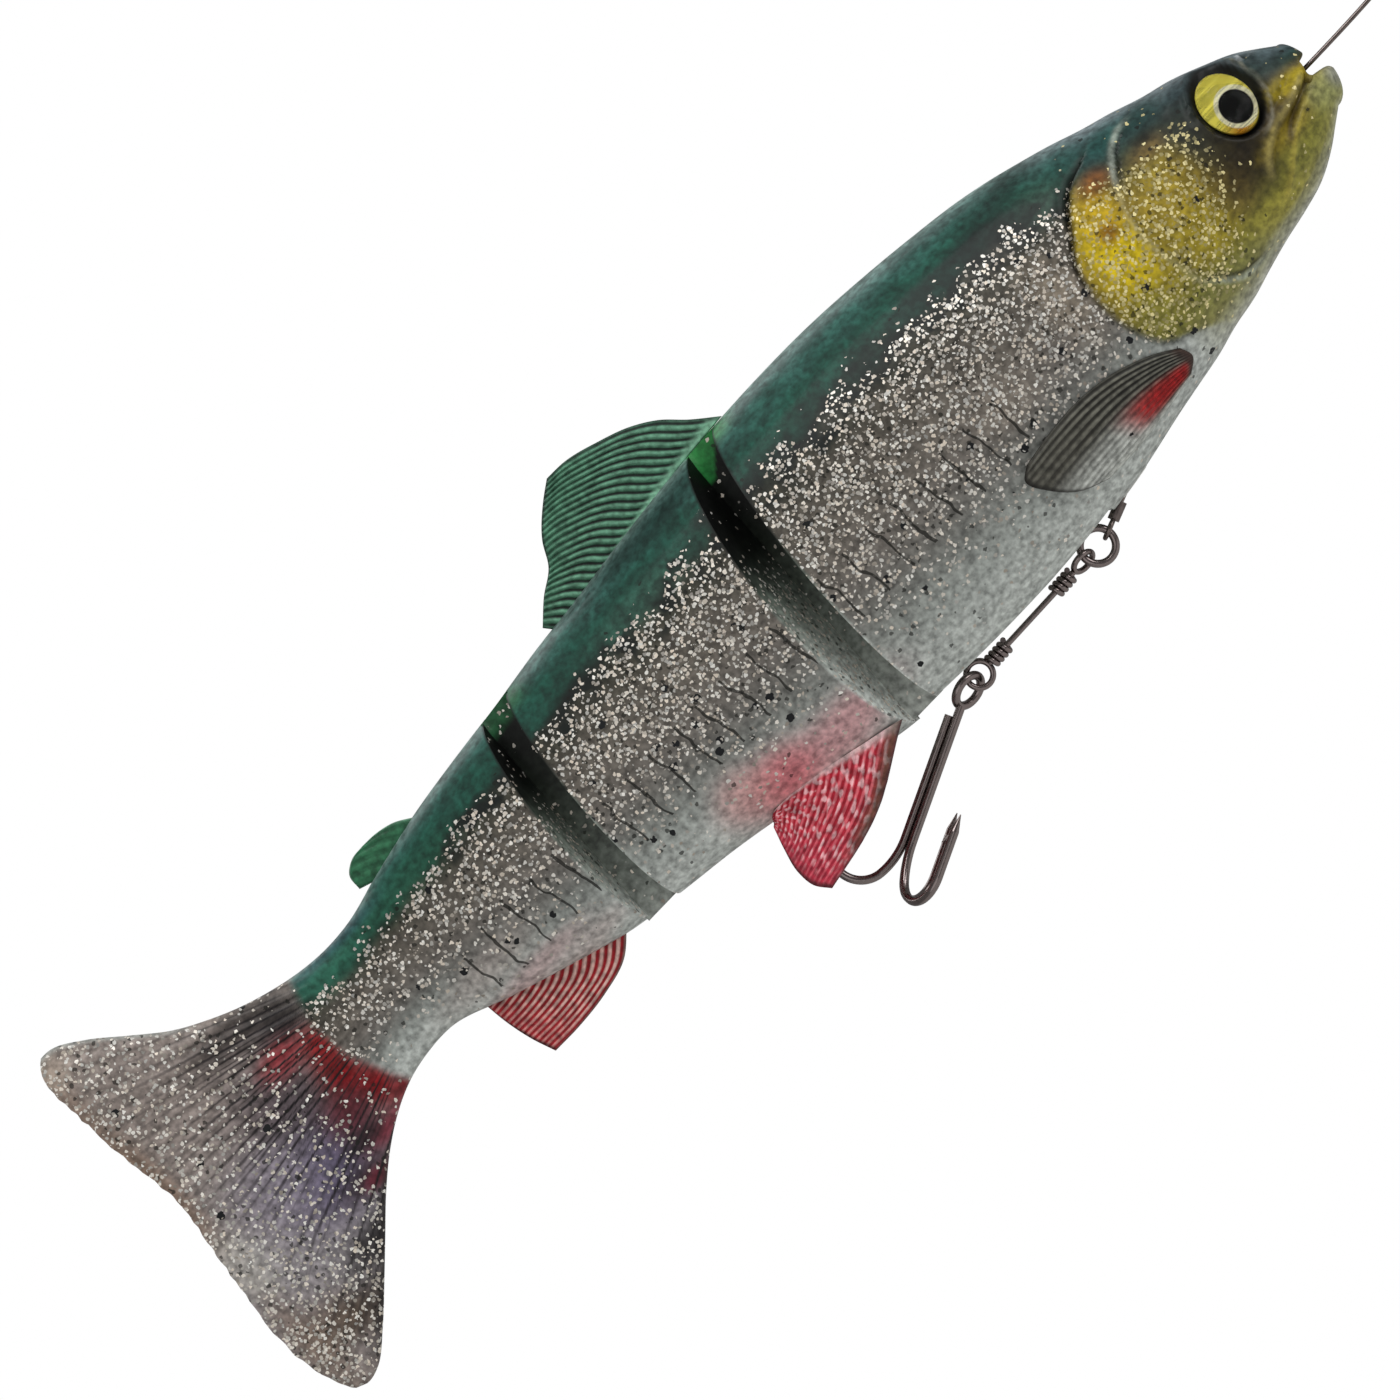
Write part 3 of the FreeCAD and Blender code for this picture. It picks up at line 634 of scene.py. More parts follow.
bodyDabs = [  # back, up, reach along, reach up, colour, strength
    (28.0, 13.8, 4.0, 1.4, "#245e53", 0.8), (37.0, 12.0, 3.4, 2.2, "#3b5a4c", 0.7),
    (42.0, 12.2, 4.0, 2.8, "#1a211e", 0.9), (47.0, 14.4, 6.0, 1.4, "#151d1b", 0.85),
    (56.0, 14.6, 5.0, 1.2, "#1d2724", 0.7), (66.0, 14.0, 6.0, 1.0, "#232b26", 0.7),
    (37.5, 16.6, 6.0, 1.5, "#1f2f2b", 0.6), (46.0, 9.2, 5.0, 2.6, "#57544c", 0.7),
    (43.0, 2.0, 3.0, 7.0, "#9c8f7c", 0.45), (57.0, -2.0, 5.0, 3.0, "#8d8377", 0.5),
    (99.0, -15.2, 9.0, 3.2, "#d98a92", 0.6), (108.0, -14.2, 5.0, 3.6, "#da6672", 0.75),
    (113.0, -12.5, 4.0, 3.5, "#d99a98", 0.6), (145.0, -8.6, 8.0, 1.6, "#c4868a", 0.4),
    (150.0, -4.5, 8.0, 2.4, "#b8a8a2", 0.5), (138.0, -11.0, 6.0, 1.6, "#b99a97", 0.4),
    (84.5, 21.4, 3.4, 1.4, "#2f8a45", 0.9), (124.5, 16.6, 2.6, 1.5, "#2c6a40", 0.8),
    (97.0, 18.6, 12.0, 1.4, "#1c2a28", 0.65), (104.0, 13.0, 9.0, 2.0, "#4c7a68", 0.4),
    (151.0, 10.2, 12.0, 2.2, "#2a5f49", 0.6), (163.0, 9.0, 5.0, 2.0, "#31705a", 0.6),
    (160.0, 11.4, 7.0, 1.0, "#2b4c5a", 0.6),
]


def bodyPaint(back, up, side):
    top, belly, half = sectionAt(back)
    level = np.clip((up - belly) / (top - belly), 0, 1)
    level = level + 0.02 * waves(back, up, side, 5, 3) * ease(level, 0.3, 0.7) * (1 - ease(level, 0.9, 1))
    # the flank by height, with a painted highlight along the very top of the back
    colours = ramp(level, flank)
    return airbrush(colours, back, up, bodyDabs), level


def bodyMarks(back, up, level):
    # where the glitter, bars, blots, spots and scales of the foil are
    level = level + 0.035 * waves(back, up, 0 * up, 3.2, 8)
    glitter = np.interp(level, [0, 0.12, 0.2, 0.28, 0.36, 0.45, 0.6, 0.72, 0.79, 0.82, 0.86],
                        [0.04, 0.08, 0.16, 0.34, 0.62, 0.82, 0.93, 0.92, 0.76, 0.12, 0.0])
    glitter = glitter * np.interp(back, [36, 44, 76, 100, 126, 150, 166], [0.8, 1, 0.9, 0.9, 0.85, 0.75, 0.7])
    spots = ease(level, 0.14, 0.24) * (1 - 0.7 * ease(level, 0.45, 0.56)) * (1 - ease(level, 0.76, 0.82))
    return {
        "glitter": glitter,
        "bars": np.exp(-((up + 4.0) / 4.0) ** 4) * ease(back, 54, 60) * (1 - ease(back, 148, 154)),
        "blots": hump(level, 0.055, 0.78) + 0.35 * ease(level, 0.8, 0.9),
        "spots": 0.6 * spots,
        "scales": 0.55 * ease(level, 0.02, 0.1) * (1 - ease(level, 0.45, 0.6)),
        "warm": 0 * back,
    }


def plainMarks(count, **some):
    # no marks but the given ones
    marks = {name: np.zeros(count) for name in ("glitter", "bars", "blots", "spots", "scales", "warm")}
    for name, amount in some.items():
        marks[name] += amount
    return marks


def paintGapFaces(colours, marks, up, onFace):
    # the cut faces at the joints take painted shade by height, black at the top and lightened low down, with
    # no other marks but some glitter low down
    colours = np.where(onFace[:, None], ramp(up, gapFaceShade), colours)
    for name in ("bars", "blots", "spots"):
        marks[name] = np.where(onFace, 0, marks[name])
    marks["glitter"] = np.where(onFace, 0.05 + 0.45 * (1 - ease(up, 0, 8)), marks["glitter"])
    return colours, marks


foil = {  # the soft body's material, sizes in mm
    "flakeSize": 0.52,      # from flake to flake, coarse enough to show
    "flakeShort": "#fffdf6", "flakeLong": "#f0e3d2", "flakeWarm": "#ffee98",
    "grainSize": 0.9,
    "raggedSize": 0.45, "raggedPush": 0.5,
    "blotSize": 2.6, "blotInk": "#161c1a",
    "spotSize": 2.9, "spotInk": "#121417",
    "gritSize": 0.8, "gritInk": "#15150f",
    "barPitch": 4.2, "barSwerve": 4.0, "barLean": 0.03, "barInk": "#14140f",
    "scaleSize": 1.15, "scaleTurn": 4.44,
    "roughness": 0.48,
    "coat": 0.08,
    "specular": 0.22,
    "bump": 0.12,
}


def softBody(name, gloss=1.0):
    # soft PVC over printed foil: a wet gloss, with glitter flakes whose brightness from flake to flake is
    # painted glint, and which also tilt a little in the bump
    material, tree = newMaterial(name)
    place = addNode(tree, "ShaderNodeTexCoord").outputs["Object"]
    paint = addNode(tree, "ShaderNodeAttribute", attribute_name="paint").outputs["Color"]
    glitter, blots, bars, spots, warm, net = (
        addNode(tree, "ShaderNodeAttribute", attribute_name=mark).outputs["Fac"]
        for mark in ("glitter", "blots", "bars", "spots", "warm", "scales"))

    # grain of the foil
    grain = addNode(tree, "ShaderNodeTexNoise", {
        "Vector": place, "Scale": 1 / (foil["grainSize"] * mm), "Detail": 3.0})
    shade = addNode(tree, "ShaderNodeMapRange", {"Value": grain, 1: 0.3, 2: 0.7, 3: 0.55, 4: 1.4})
    colour = addNode(tree, "ShaderNodeMix", {0: 1.0, 6: paint, 7: shade},
                     data_type="RGBA", blend_type="MULTIPLY").outputs[2]

    # every flake and spot is a little ragged
    ragged = addNode(tree, "ShaderNodeTexNoise", {
        "Vector": place, "Scale": 1 / (foil["raggedSize"] * mm), "Detail": 1.0}).outputs["Color"]
    push = addNode(tree, "ShaderNodeVectorMath", {0: ragged, 1: (0.5, 0.5, 0.5)}, operation="SUBTRACT")
    push = addNode(tree, "ShaderNodeVectorMath", {
        0: push, "Scale": foil["raggedPush"] * mm}, operation="SCALE")
    uneven = addNode(tree, "ShaderNodeVectorMath", {0: place, 1: push}, operation="ADD")

    # dark blots towards the back
    blot = addNode(tree, "ShaderNodeTexNoise", {
        "Vector": place, "Scale": 1 / (foil["blotSize"] * mm), "Detail": 2.0})
    blot = addNode(tree, "ShaderNodeMath", {0: blot, 1: 0.42}, operation="SUBTRACT")
    blot = addNode(tree, "ShaderNodeMath", {0: blot, 1: 9.0}, operation="MULTIPLY", use_clamp=True)
    blot = addNode(tree, "ShaderNodeMath", {0: blots, 1: blot}, operation="MULTIPLY")
    colour = addNode(tree, "ShaderNodeMix", {0: blot, 6: colour, 7: paintOf(foil["blotInk"])},
                     data_type="RGBA").outputs[2]

    # round spots, then black grit between the flakes, more of it where there is glitter
    thinned = addNode(tree, "ShaderNodeMath", {0: glitter, 1: 0.4}, operation="MULTIPLY")
    for size, chance, radius, ink, cover in ((foil["spotSize"], spots, 0.19, foil["spotInk"], 1.0),
                                             (foil["gritSize"], thinned, 0.36, foil["gritInk"], 0.75)):
        dots = addNode(tree, "ShaderNodeTexVoronoi", {"Vector": uneven, "Scale": 1 / (size * mm)})
        luck = addNode(tree, "ShaderNodeSeparateColor", {0: dots.outputs["Color"]})
        drawn = addNode(tree, "ShaderNodeMath", {0: luck, 1: chance}, operation="ADD")
        drawn = addNode(tree, "ShaderNodeMath", {0: drawn, 1: 1.0}, operation="GREATER_THAN")
        disc = addNode(tree, "ShaderNodeMath", {0: dots, 1: radius}, operation="LESS_THAN")
        disc = addNode(tree, "ShaderNodeMath", {0: drawn, 1: disc}, operation="MULTIPLY")
        disc = addNode(tree, "ShaderNodeMath", {0: disc, 1: cover}, operation="MULTIPLY")
        colour = addNode(tree, "ShaderNodeMix", {0: disc, 6: colour, 7: paintOf(ink)},
                         data_type="RGBA").outputs[2]

    # glitter, yellow on the cheek; each flake's brightness is painted glint, and flakes painted dull take on
    # the paint
    flakes = addNode(tree, "ShaderNodeTexVoronoi", {"Vector": uneven, "Scale": 1 / (foil["flakeSize"] * mm)})
    luck = addNode(tree, "ShaderNodeSeparateColor", {0: flakes.outputs["Color"]})
    drawn = addNode(tree, "ShaderNodeMath", {0: luck, 1: glitter}, operation="ADD")
    drawn = addNode(tree, "ShaderNodeMath", {0: drawn, 1: 1.0}, operation="GREATER_THAN")
    flake = addNode(tree, "ShaderNodeMath", {0: flakes, 1: 0.47}, operation="LESS_THAN")
    flake = addNode(tree, "ShaderNodeMath", {0: drawn, 1: flake}, operation="MULTIPLY")
    bright = addNode(tree, "ShaderNodeMapRange", {"Value": luck.outputs[2], 1: 0.0, 2: 1.0, 3: 0.32, 4: 1.0})
    dull = addNode(tree, "ShaderNodeMath", {0: 1.0, 1: bright}, operation="SUBTRACT")
    dull = addNode(tree, "ShaderNodeMath", {0: warm, 1: dull}, operation="MULTIPLY")
    tint = addNode(tree, "ShaderNodeMix", {
        0: luck.outputs[1], 6: paintOf(foil["flakeShort"]), 7: paintOf(foil["flakeLong"])},
        data_type="RGBA").outputs[2]
    tint = addNode(tree, "ShaderNodeMix", {0: warm, 6: tint, 7: paintOf(foil["flakeWarm"])},
                   data_type="RGBA").outputs[2]
    tint = addNode(tree, "ShaderNodeMix", {0: 1.0, 6: tint, 7: bright},
                   data_type="RGBA", blend_type="MULTIPLY").outputs[2]
    tint = addNode(tree, "ShaderNodeMix", {0: dull, 6: tint, 7: paint}, data_type="RGBA").outputs[2]
    colour = addNode(tree, "ShaderNodeMix", {0: flake, 6: colour, 7: tint}, data_type="RGBA").outputs[2]

    # short upright bars on the flank, slanting and swerving a little
    apart = addNode(tree, "ShaderNodeSeparateXYZ", {0: place})
    swerve = addNode(tree, "ShaderNodeTexNoise", {"Vector": place, "Scale": 1 / (foil["barSwerve"] * mm)})
    swerve = addNode(tree, "ShaderNodeMath", {0: swerve, 1: 0.55}, operation="MULTIPLY")
    run = addNode(tree, "ShaderNodeMath", {0: apart, 1: 1 / (foil["barPitch"] * mm)}, operation="MULTIPLY")
    lean = addNode(tree, "ShaderNodeMath", {
        0: apart.outputs[2], 1: foil["barLean"] / mm}, operation="MULTIPLY")
    run = addNode(tree, "ShaderNodeMath", {0: run, 1: lean}, operation="ADD")
    run = addNode(tree, "ShaderNodeMath", {0: run, 1: swerve}, operation="ADD")
    run = addNode(tree, "ShaderNodeMath", {0: run}, operation="FRACT")
    thin = addNode(tree, "ShaderNodeMath", {0: run, 1: 0.08}, operation="LESS_THAN")
    broken = addNode(tree, "ShaderNodeMath", {0: grain, 1: 0.3}, operation="MULTIPLY")
    broken = addNode(tree, "ShaderNodeMath", {0: bars, 1: broken}, operation="ADD")
    broken = addNode(tree, "ShaderNodeMath", {0: broken, 1: 0.65}, operation="GREATER_THAN")
    bar = addNode(tree, "ShaderNodeMath", {0: thin, 1: broken}, operation="MULTIPLY")
    bar = addNode(tree, "ShaderNodeMath", {0: bar, 1: 0.85}, operation="MULTIPLY")
    colour = addNode(tree, "ShaderNodeMix", {0: bar, 6: colour, 7: paintOf(foil["barInk"])},
                     data_type="RGBA").outputs[2]

    # a fine diamond mesh of scales, and flakes that tilt
    scales = net
    for way in ("ADD", "SUBTRACT"):
        row = addNode(tree, "ShaderNodeMath", {0: apart, 1: apart.outputs[2]}, operation=way)
        row = addNode(tree, "ShaderNodeMath", {
            0: row, 1: foil["scaleTurn"] / (foil["scaleSize"] * mm)}, operation="MULTIPLY")
        row = addNode(tree, "ShaderNodeMath", {0: row}, operation="SINE")
        scales = addNode(tree, "ShaderNodeMath", {0: row, 1: scales}, operation="MULTIPLY")
    tilt = addNode(tree, "ShaderNodeMath", {0: flake, 1: bright}, operation="MULTIPLY")
    lift = addNode(tree, "ShaderNodeMath", {0: scales, 1: grain}, operation="ADD")
    lift = addNode(tree, "ShaderNodeMath", {0: lift, 1: tilt}, operation="ADD")
    bump = addNode(tree, "ShaderNodeBump", {
        "Height": lift, "Strength": 0.35, "Distance": foil["bump"] * mm})
    polished = addNode(tree, "ShaderNodeMath", {0: flake, 1: 0.12}, operation="MULTIPLY")
    rough = addNode(tree, "ShaderNodeMath", {
        0: foil["roughness"] * gloss + 0.04, 1: polished}, operation="SUBTRACT")
    metal = addNode(tree, "ShaderNodeMath", {0: flake, 1: 0.35}, operation="MULTIPLY")
    shadeWith(tree, {
        "Base Color": colour,
        "Metallic": metal,
        "Roughness": rough,
        "Normal": bump,
        "Coat Weight": foil["coat"],
        "Coat Roughness": 0.12,
        "Specular IOR Level": foil["specular"],
    })
    return material


softSkin = softBody("soft PVC over printed foil")


def paintHead(back, up, side):
    # the cheek is painted apart from the body behind the gill cover
    top, belly, half = sectionAt(back)
    level = np.clip((up - belly) / (top - belly), 0, 1)
    away, inside, part = cheekSide(back, up, "gillEdge")
    signed = np.where(inside, -away, away)
    inCheek = 1 - ease(signed, -0.6, 0.5)
    ahead = (1 - ease(back, 27, 37)) * np.maximum(ease(-up, 11, 14), ease(up, 11, 13))
    inCheek = np.maximum(inCheek * (1 - ease(back, 40, 44)), ahead)
    colours, bodyLevel = bodyPaint(back, up, side)
    # the cheek's paint, with a painted highlight along the top of the head
    cheekColours = airbrush(ramp(level, cheek), back, up, headDabs)
    colours = colours + (cheekColours - colours) * inCheek[:, None]

    # the gill groove and the cheek's edge: painted shade in the groove and along the edge, and a painted
    # highlight just outside the edge
    onFlank = onHeadFlank(side)
    heavy = fadeEnds(part, 0.1) * (1 - 0.8 * ease(part, 0.35, 0.6)) * onFlank
    colours = blendTo(colours, head["grooveShade"], 0.9 * heavy * hump(signed, 0.42, 0.25))
    away, inside, part = cheekSide(back, up, "cheekEdge")
    ends = 1 - ease(part, 0.22, 0.3) * (1 - ease(part, 0.7, 0.8))
    fade = fadeEnds(part) * onFlank
    colours = blendTo(colours, head["cheekShade"], (0.25 + 0.5 * ends) * fade * hump(away, 0.4))
    outside = fade * ~inside * hump(away, 0.32, 0.7)
    colours = blendTo(colours, head["cheekEdgeHighlight"], (0.2 + 0.5 * ends) * outside)
    for line, colour, strength, wide in head["linePaint"]:
        away, _, part = fromLine(back, up, head[line])
        colours = blendTo(colours, colour, strength * fadeEnds(part) * hump(away, wide))

    # the eye's socket, the nostril and the mouth: painted shade in the socket and the nostril's pit, and
    # painted highlights on the socket's rim towards the snout and on the nostril's upper rim
    ring, pit = fromEye(back, up), fromNostril(back, up)
    colours = blendTo(colours, head["socketShade"], onFlank * (1 - ease(ring, 0.98, 1.12)))
    rim = hump(ring, 0.05, 1.17) * ease(head["eye"][0] + 1 - back, 0, 3)
    colours = blendTo(colours, head["socketRimHighlight"], 0.6 * onFlank * rim)
    colours = blendTo(colours, head["nostrilShade"], onFlank * hump(pit, 0.55))
    upper = ease(up - head["nostril"][1], -0.6, 0.3)
    colours = blendTo(colours, head["nostrilHighlight"], 0.8 * onFlank * hump(pit, 0.22, 0.95) * upper)
    mouth = (np.abs(up - snout["mouthHeight"]) < 1.0) & (back > 1.6) & (back < 6) & (np.abs(side) < 3.4)
    colours = blendTo(colours, head["mouthPaint"], 0.7 * mouth)

    marks = bodyMarks(back, up, bodyLevel)
    cheekGlitter = ease(back + 0.5 * up, 15, 22) * ease(up, -14, -9) * (1 - ease(level, 0.70, 0.80))
    cheekMarks = {
        "glitter": (0.84 * cheekGlitter + 0.03) * ease(ring, 1.05, 1.6),
        "blots": 0.3 * hump(level, 0.08, 0.82),
        "bars": 0,
        "spots": 0.34 * ease(back, 18, 24) * (1 - ease(level, 0.6, 0.75)),
        "warm": 0.75,
    }
    for name, mark in cheekMarks.items():
        marks[name] = marks[name] * (1 - inCheek) + mark * inCheek
    return colours, marks


def makeHead():
    columns, place = wrapBody(snoutFace, vee("headRear"), head["columns"], head["cap"])
    skin = gridPiece("headSkin", columns, head["rows"], place)
    back, up, side = fishPlaces(skin)
    emboss(skin, headRelief)
    carveBelly(skin)
    colours, marks = paintHead(back, up, side)
    onFace = back > vee("headRear")(up, side) - 0.1
    colours, marks = paintGapFaces(colours, marks, up, onFace)
    finishSoft(skin, colours, marks, softSkin)
    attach(skin, "head")
    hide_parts("head_section")
    return skin


headSkin = makeHead()
print("head", len(headSkin.data.polygons))


middle = {"columns": 84, "rows": 256, "cap": 12}
tail = {
    "columns": 170, "rows": 420, "cap": 8,
    "bladeFrom": 158.0,
    "bendFrom": 155.0, "bendTo": 169.0, "bendUp": 3.0,
    # up, back
    "rearEdge": [(-29.3, 195.6), (-28.7, 197.0), (-27.0, 198.4), (-24.6, 199.3), (-17.3, 199.8),
                 (-11.5, 199.0), (-5.4, 197.9), (-2.0, 197.2), (4.0, 196.4), (9.0, 196.8),
                 (13.3, 197.2), (20.0, 197.3), (24.2, 197.2), (26.4, 196.4), (27.4, 195.2)],
    "ragged": 0.14, "raggedSteps": 60,
    "rayFrom": (147.0, 2.4),  # where the tail's rays fan out from
    "rays": 62, "rayHeight": 0.13,
    # the blade's paint starts on a slanting line: up, back
    "bladeLine": [(-9, 165.0), (-4, 167.2), (1, 169.2), (6, 169.6), (12, 167.5)],
    "bladePaint": [(0, "#8c8078"), (0.35, "#a09a9c"), (0.6, "#a59b94"), (1, "#a3988f")],
    "streakPaint": "#161115", "topRim": "#b9c2bd", "lowRim": "#1f1a1a",
}


def makeMiddle():
    columns, place = wrapBody(vee("middleFront"), vee("middleRear"), middle["columns"], middle["cap"])
    skin = gridPiece("middleSkin", columns, middle["rows"], place)
    back, up, side = fishPlaces(skin)
    colours, level = bodyPaint(back, up, side)
    marks = bodyMarks(back, up, level)
    front, rear = vee("middleFront")(up, side), vee("middleRear")(up, side)
    onFace = (back < front + 0.1) | (back > rear - 0.1)
    colours, marks = paintGapFaces(colours, marks, up, onFace)
    finishSoft(skin, colours, marks, softSkin)
    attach(skin, "middle")
    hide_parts("middle_section")
    return skin


middleSkin = makeMiddle()
print("middle", len(middleSkin.data.polygons))

bladeDabs = [  # back, up, reach along, reach up, colour, strength
    (190.0, 12.0, 16.0, 22.0, "#978b85", 0.9), (188.0, -14.0, 13.0, 14.0, "#9b9598", 0.9),
    (172.0, 9.4, 5.0, 4.2, "#1c1a19", 0.92), (178.0, 12.6, 7.0, 2.6, "#332c2a", 0.8),
    (178.0, 1.5, 8.0, 8.0, "#4c3f47", 0.85), (181.0, -8.0, 8.0, 6.0, "#5a5170", 0.85),
    (187.0, -4.0, 6.0, 5.0, "#948c98", 0.7), (175.0, 6.0, 3.6, 2.2, "#a5202c", 0.7),
    (170.4, 3.8, 2.4, 2.8, "#98040f", 0.95), (171.2, -0.4, 3.0, 4.0, "#86020a", 1.0),
    (169.2, -4.4, 3.0, 3.6, "#80020b", 1.0), (166.6, -7.2, 2.8, 2.0, "#7e0814", 0.95),
    (174.0, -4.6, 3.6, 4.0, "#580f1e", 0.9), (171.5, -9.2, 4.4, 1.8, "#8c1c34", 0.85),
    (175.0, -8.0, 4.0, 1.4, "#191416", 0.85), (178.0, -11.5, 5.0, 2.2, "#2c1a1e", 0.85),
    (183.0, -17.6, 5.5, 2.6, "#161214", 0.9), (177.0, -12.4, 2.4, 1.2, "#7c1830", 0.7),
    (189.0, -22.5, 4.6, 3.4, "#33271b", 0.85), (193.5, -21.0, 4.0, 4.0, "#5e4c3a", 0.75),
    (197.0, 8.0, 2.2, 18.0, "#80634b", 0.7), (197.5, -20.0, 2.5, 8.0, "#7a6450", 0.6),
    (196.0, 25.0, 2.6, 2.4, "#bfae9e", 0.6), (193.0, 16.0, 4.0, 6.0, "#8c817a", 0.6),
    (196.5, -8.0, 3.0, 5.0, "#b9b6b0", 0.7),
]


def fan(back, up):
    fromBack, fromUp = tail["rayFrom"]
    return np.arctan2(up - fromUp, back - fromBack), np.hypot(up - fromUp, back - fromBack)


def tailRelief(back, up, side):
    turn, out = fan(back, up)
    wave = np.sin(turn * tail["rays"] * 2 + 0.6 * np.sin(out * 0.35) + 1.3 * np.sin(turn * 9))
    top, belly, half = sectionAt(back)
    edge = np.clip(np.minimum(top - up, up - belly), 0, 2) / 2
    return tail["rayHeight"] * wave * ease(back, 163, 172) * edge * (1 - ease(back, 194, 198))


def paintTail(back, up, side):
    colours, level = bodyPaint(back, up, side)
    marks = bodyMarks(back, up, level)
    slant = back - np.interp(up, *np.transpose(tail["bladeLine"]))
    inBlade = ease(slant, -0.7, 0.7)
    base = ramp(np.clip((up + 29) / 56, 0, 1), tail["bladePaint"])
    blade = airbrush(base, back, up, bladeDabs)

    # dark streaks along the rays
    turn, out = fan(back, up)
    draw = np.random.default_rng(11)
    streakWaves = 9
    streak = np.zeros(len(back))
    for _ in range(streakWaves):
        phase = turn * draw.uniform(160, 420) + draw.uniform(0, 6.3)
        streak += np.sin(phase + 0.4 * np.sin(out * draw.uniform(0.1, 0.5)))
    streak = ease(streak / streakWaves, 0.04, 0.30)
    depth = np.interp(back, [166, 171, 180, 190, 197], [0.4, 0.9, 0.85, 0.45, 0.15])
    depth = depth * np.interp(up, [-28, -18, -4, 6, 14, 26], [0.5, 0.9, 1, 1, 0.75, 0.35])
    blade = blendTo(blade, tail["streakPaint"], np.clip(1.25 * streak * depth, 0, 1))

    top, belly, half = sectionAt(back)
    blade = blendTo(blade, tail["topRim"], 0.6 * hump(top - up, 0.5) * ease(back, 178, 184))
    rimLow = hump(up - belly, 1.1) * ease(back, 172, 177) * (1 - ease(back, 191, 196))
    blade = blendTo(blade, tail["lowRim"], 0.8 * rimLow)
    colours = colours + (blade - colours) * inBlade[:, None]

    shine = np.interp(back, [165, 174, 180, 188, 194, 200], [0.08, 0.16, 0.4, 0.5, 0.6, 0.7])
    shine = shine * np.interp(up, [-28, -20, -10, 6, 26], [1.25, 1.2, 0.9, 0.8, 1.0])
    for name, mark in (("glitter", shine), ("spots", 0.10), ("bars", 0), ("blots", 0)):
        marks[name] = marks[name] * (1 - inBlade) + mark * inBlade
    marks["blots"] = marks["blots"] * (1 - ease(back, 140, 150))
    return colours, marks


def makeTail():
    heights, reaches = np.transpose(tail["rearEdge"])
    steps = tail["raggedSteps"]
    ragged = np.random.default_rng(5).uniform(-tail["ragged"], tail["ragged"], steps)

    def rearEdge(up, side):
        torn = np.interp(up, np.linspace(-29, 28, steps), ragged)
        return smoothThrough(heights, reaches, up) + torn

    columns, place = wrapBody(vee("tailFront"), rearEdge, tail["columns"], tail["cap"], tail["bladeFrom"])
    skin = gridPiece("tailSkin", columns, tail["rows"], place)
    back, up, side = fishPlaces(skin)
    emboss(skin, tailRelief)
    colours, marks = paintTail(back, up, side)
    onFace = back < vee("tailFront")(up, side) + 0.1
    colours, marks = paintGapFaces(colours, marks, up, onFace)
    finishSoft(skin, colours, marks, softSkin)
    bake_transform(skin)
    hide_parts("tail_section", "tail_root", "caudal_fin")
    return skin


tailSkin = makeTail()
print("tail", len(tailSkin.data.polygons))


webs = {  # across the joints
    "frontWeb": {
        "body": ("head", "middle"), "node": "front_web", "faces": ("headRear", "middleFront"),
        "low": -20.8, "back": 87.0, "green": "#2a7a3c",
        "greenReach": lambda back: 4.2 * np.clip((back - 83.0) / 4.3, 0.15, 1),
    },
    "rearWeb": {
        "body": ("middle", "tail"), "node": "rear_web", "faces": ("middleRear", "tailFront"),
        "low": -14.5, "back": 127.5, "green": "#235434",
        "greenReach": lambda back: 2.5,
    },
}
webShadePaint = [  # by height: painted shade, darker towards the top where the web lies deep in the groove's shadow
    (-19, "#a9ada7"), (-8, "#7c827b"), (1, "#4b524a"), (7, "#20251f"), (12, "#111411"), (22, "#101310"),
]


def makeWeb(name, facts):
    near, far = (vee(face) for face in facts["faces"])
    sink = 0.25          # how far the web's edges go into the two sections
    settleRounds = 6

    def place(along, around):
        # a strip with flared edges; around goes up the left side and down the right
        turn = around * 2 * math.pi
        flare = 1.2 + 0.9 * np.abs(2 * along - 1) ** 4
        side = flare * np.clip(1.6 * np.cos(turn), -1, 1)
        back = np.full(len(along), facts["back"])
        level = (np.clip(1.15 * np.sin(turn), -1, 1) + 1) / 2
        for _ in range(settleRounds):
            top = sectionAt(back)[0] - 0.02 - 0.10 * side**2 / 6
            up = facts["low"] + (top - facts["low"]) * level
            ahead, behind = near(up, side) - sink, far(up, side) + sink
            back = ahead + (behind - ahead) * along
        return back, up, side

    web = gridPiece(name, 16, 160, place)
    closeEnds(web)
    back, up, side = fishPlaces(web)
    green = ease(up - sectionAt(back)[0] + facts["greenReach"](back), -0.3, 0.3)
    # painted shade on the web by height, green along its top
    colours = blendTo(ramp(up, webShadePaint), facts["green"], green)
    finishSoft(web, colours, plainMarks(len(back), glitter=0.08), softSkin, 60)
    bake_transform(web)
    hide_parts(facts["node"])


for name, facts in webs.items():
    makeWeb(name, facts)
print("webs")


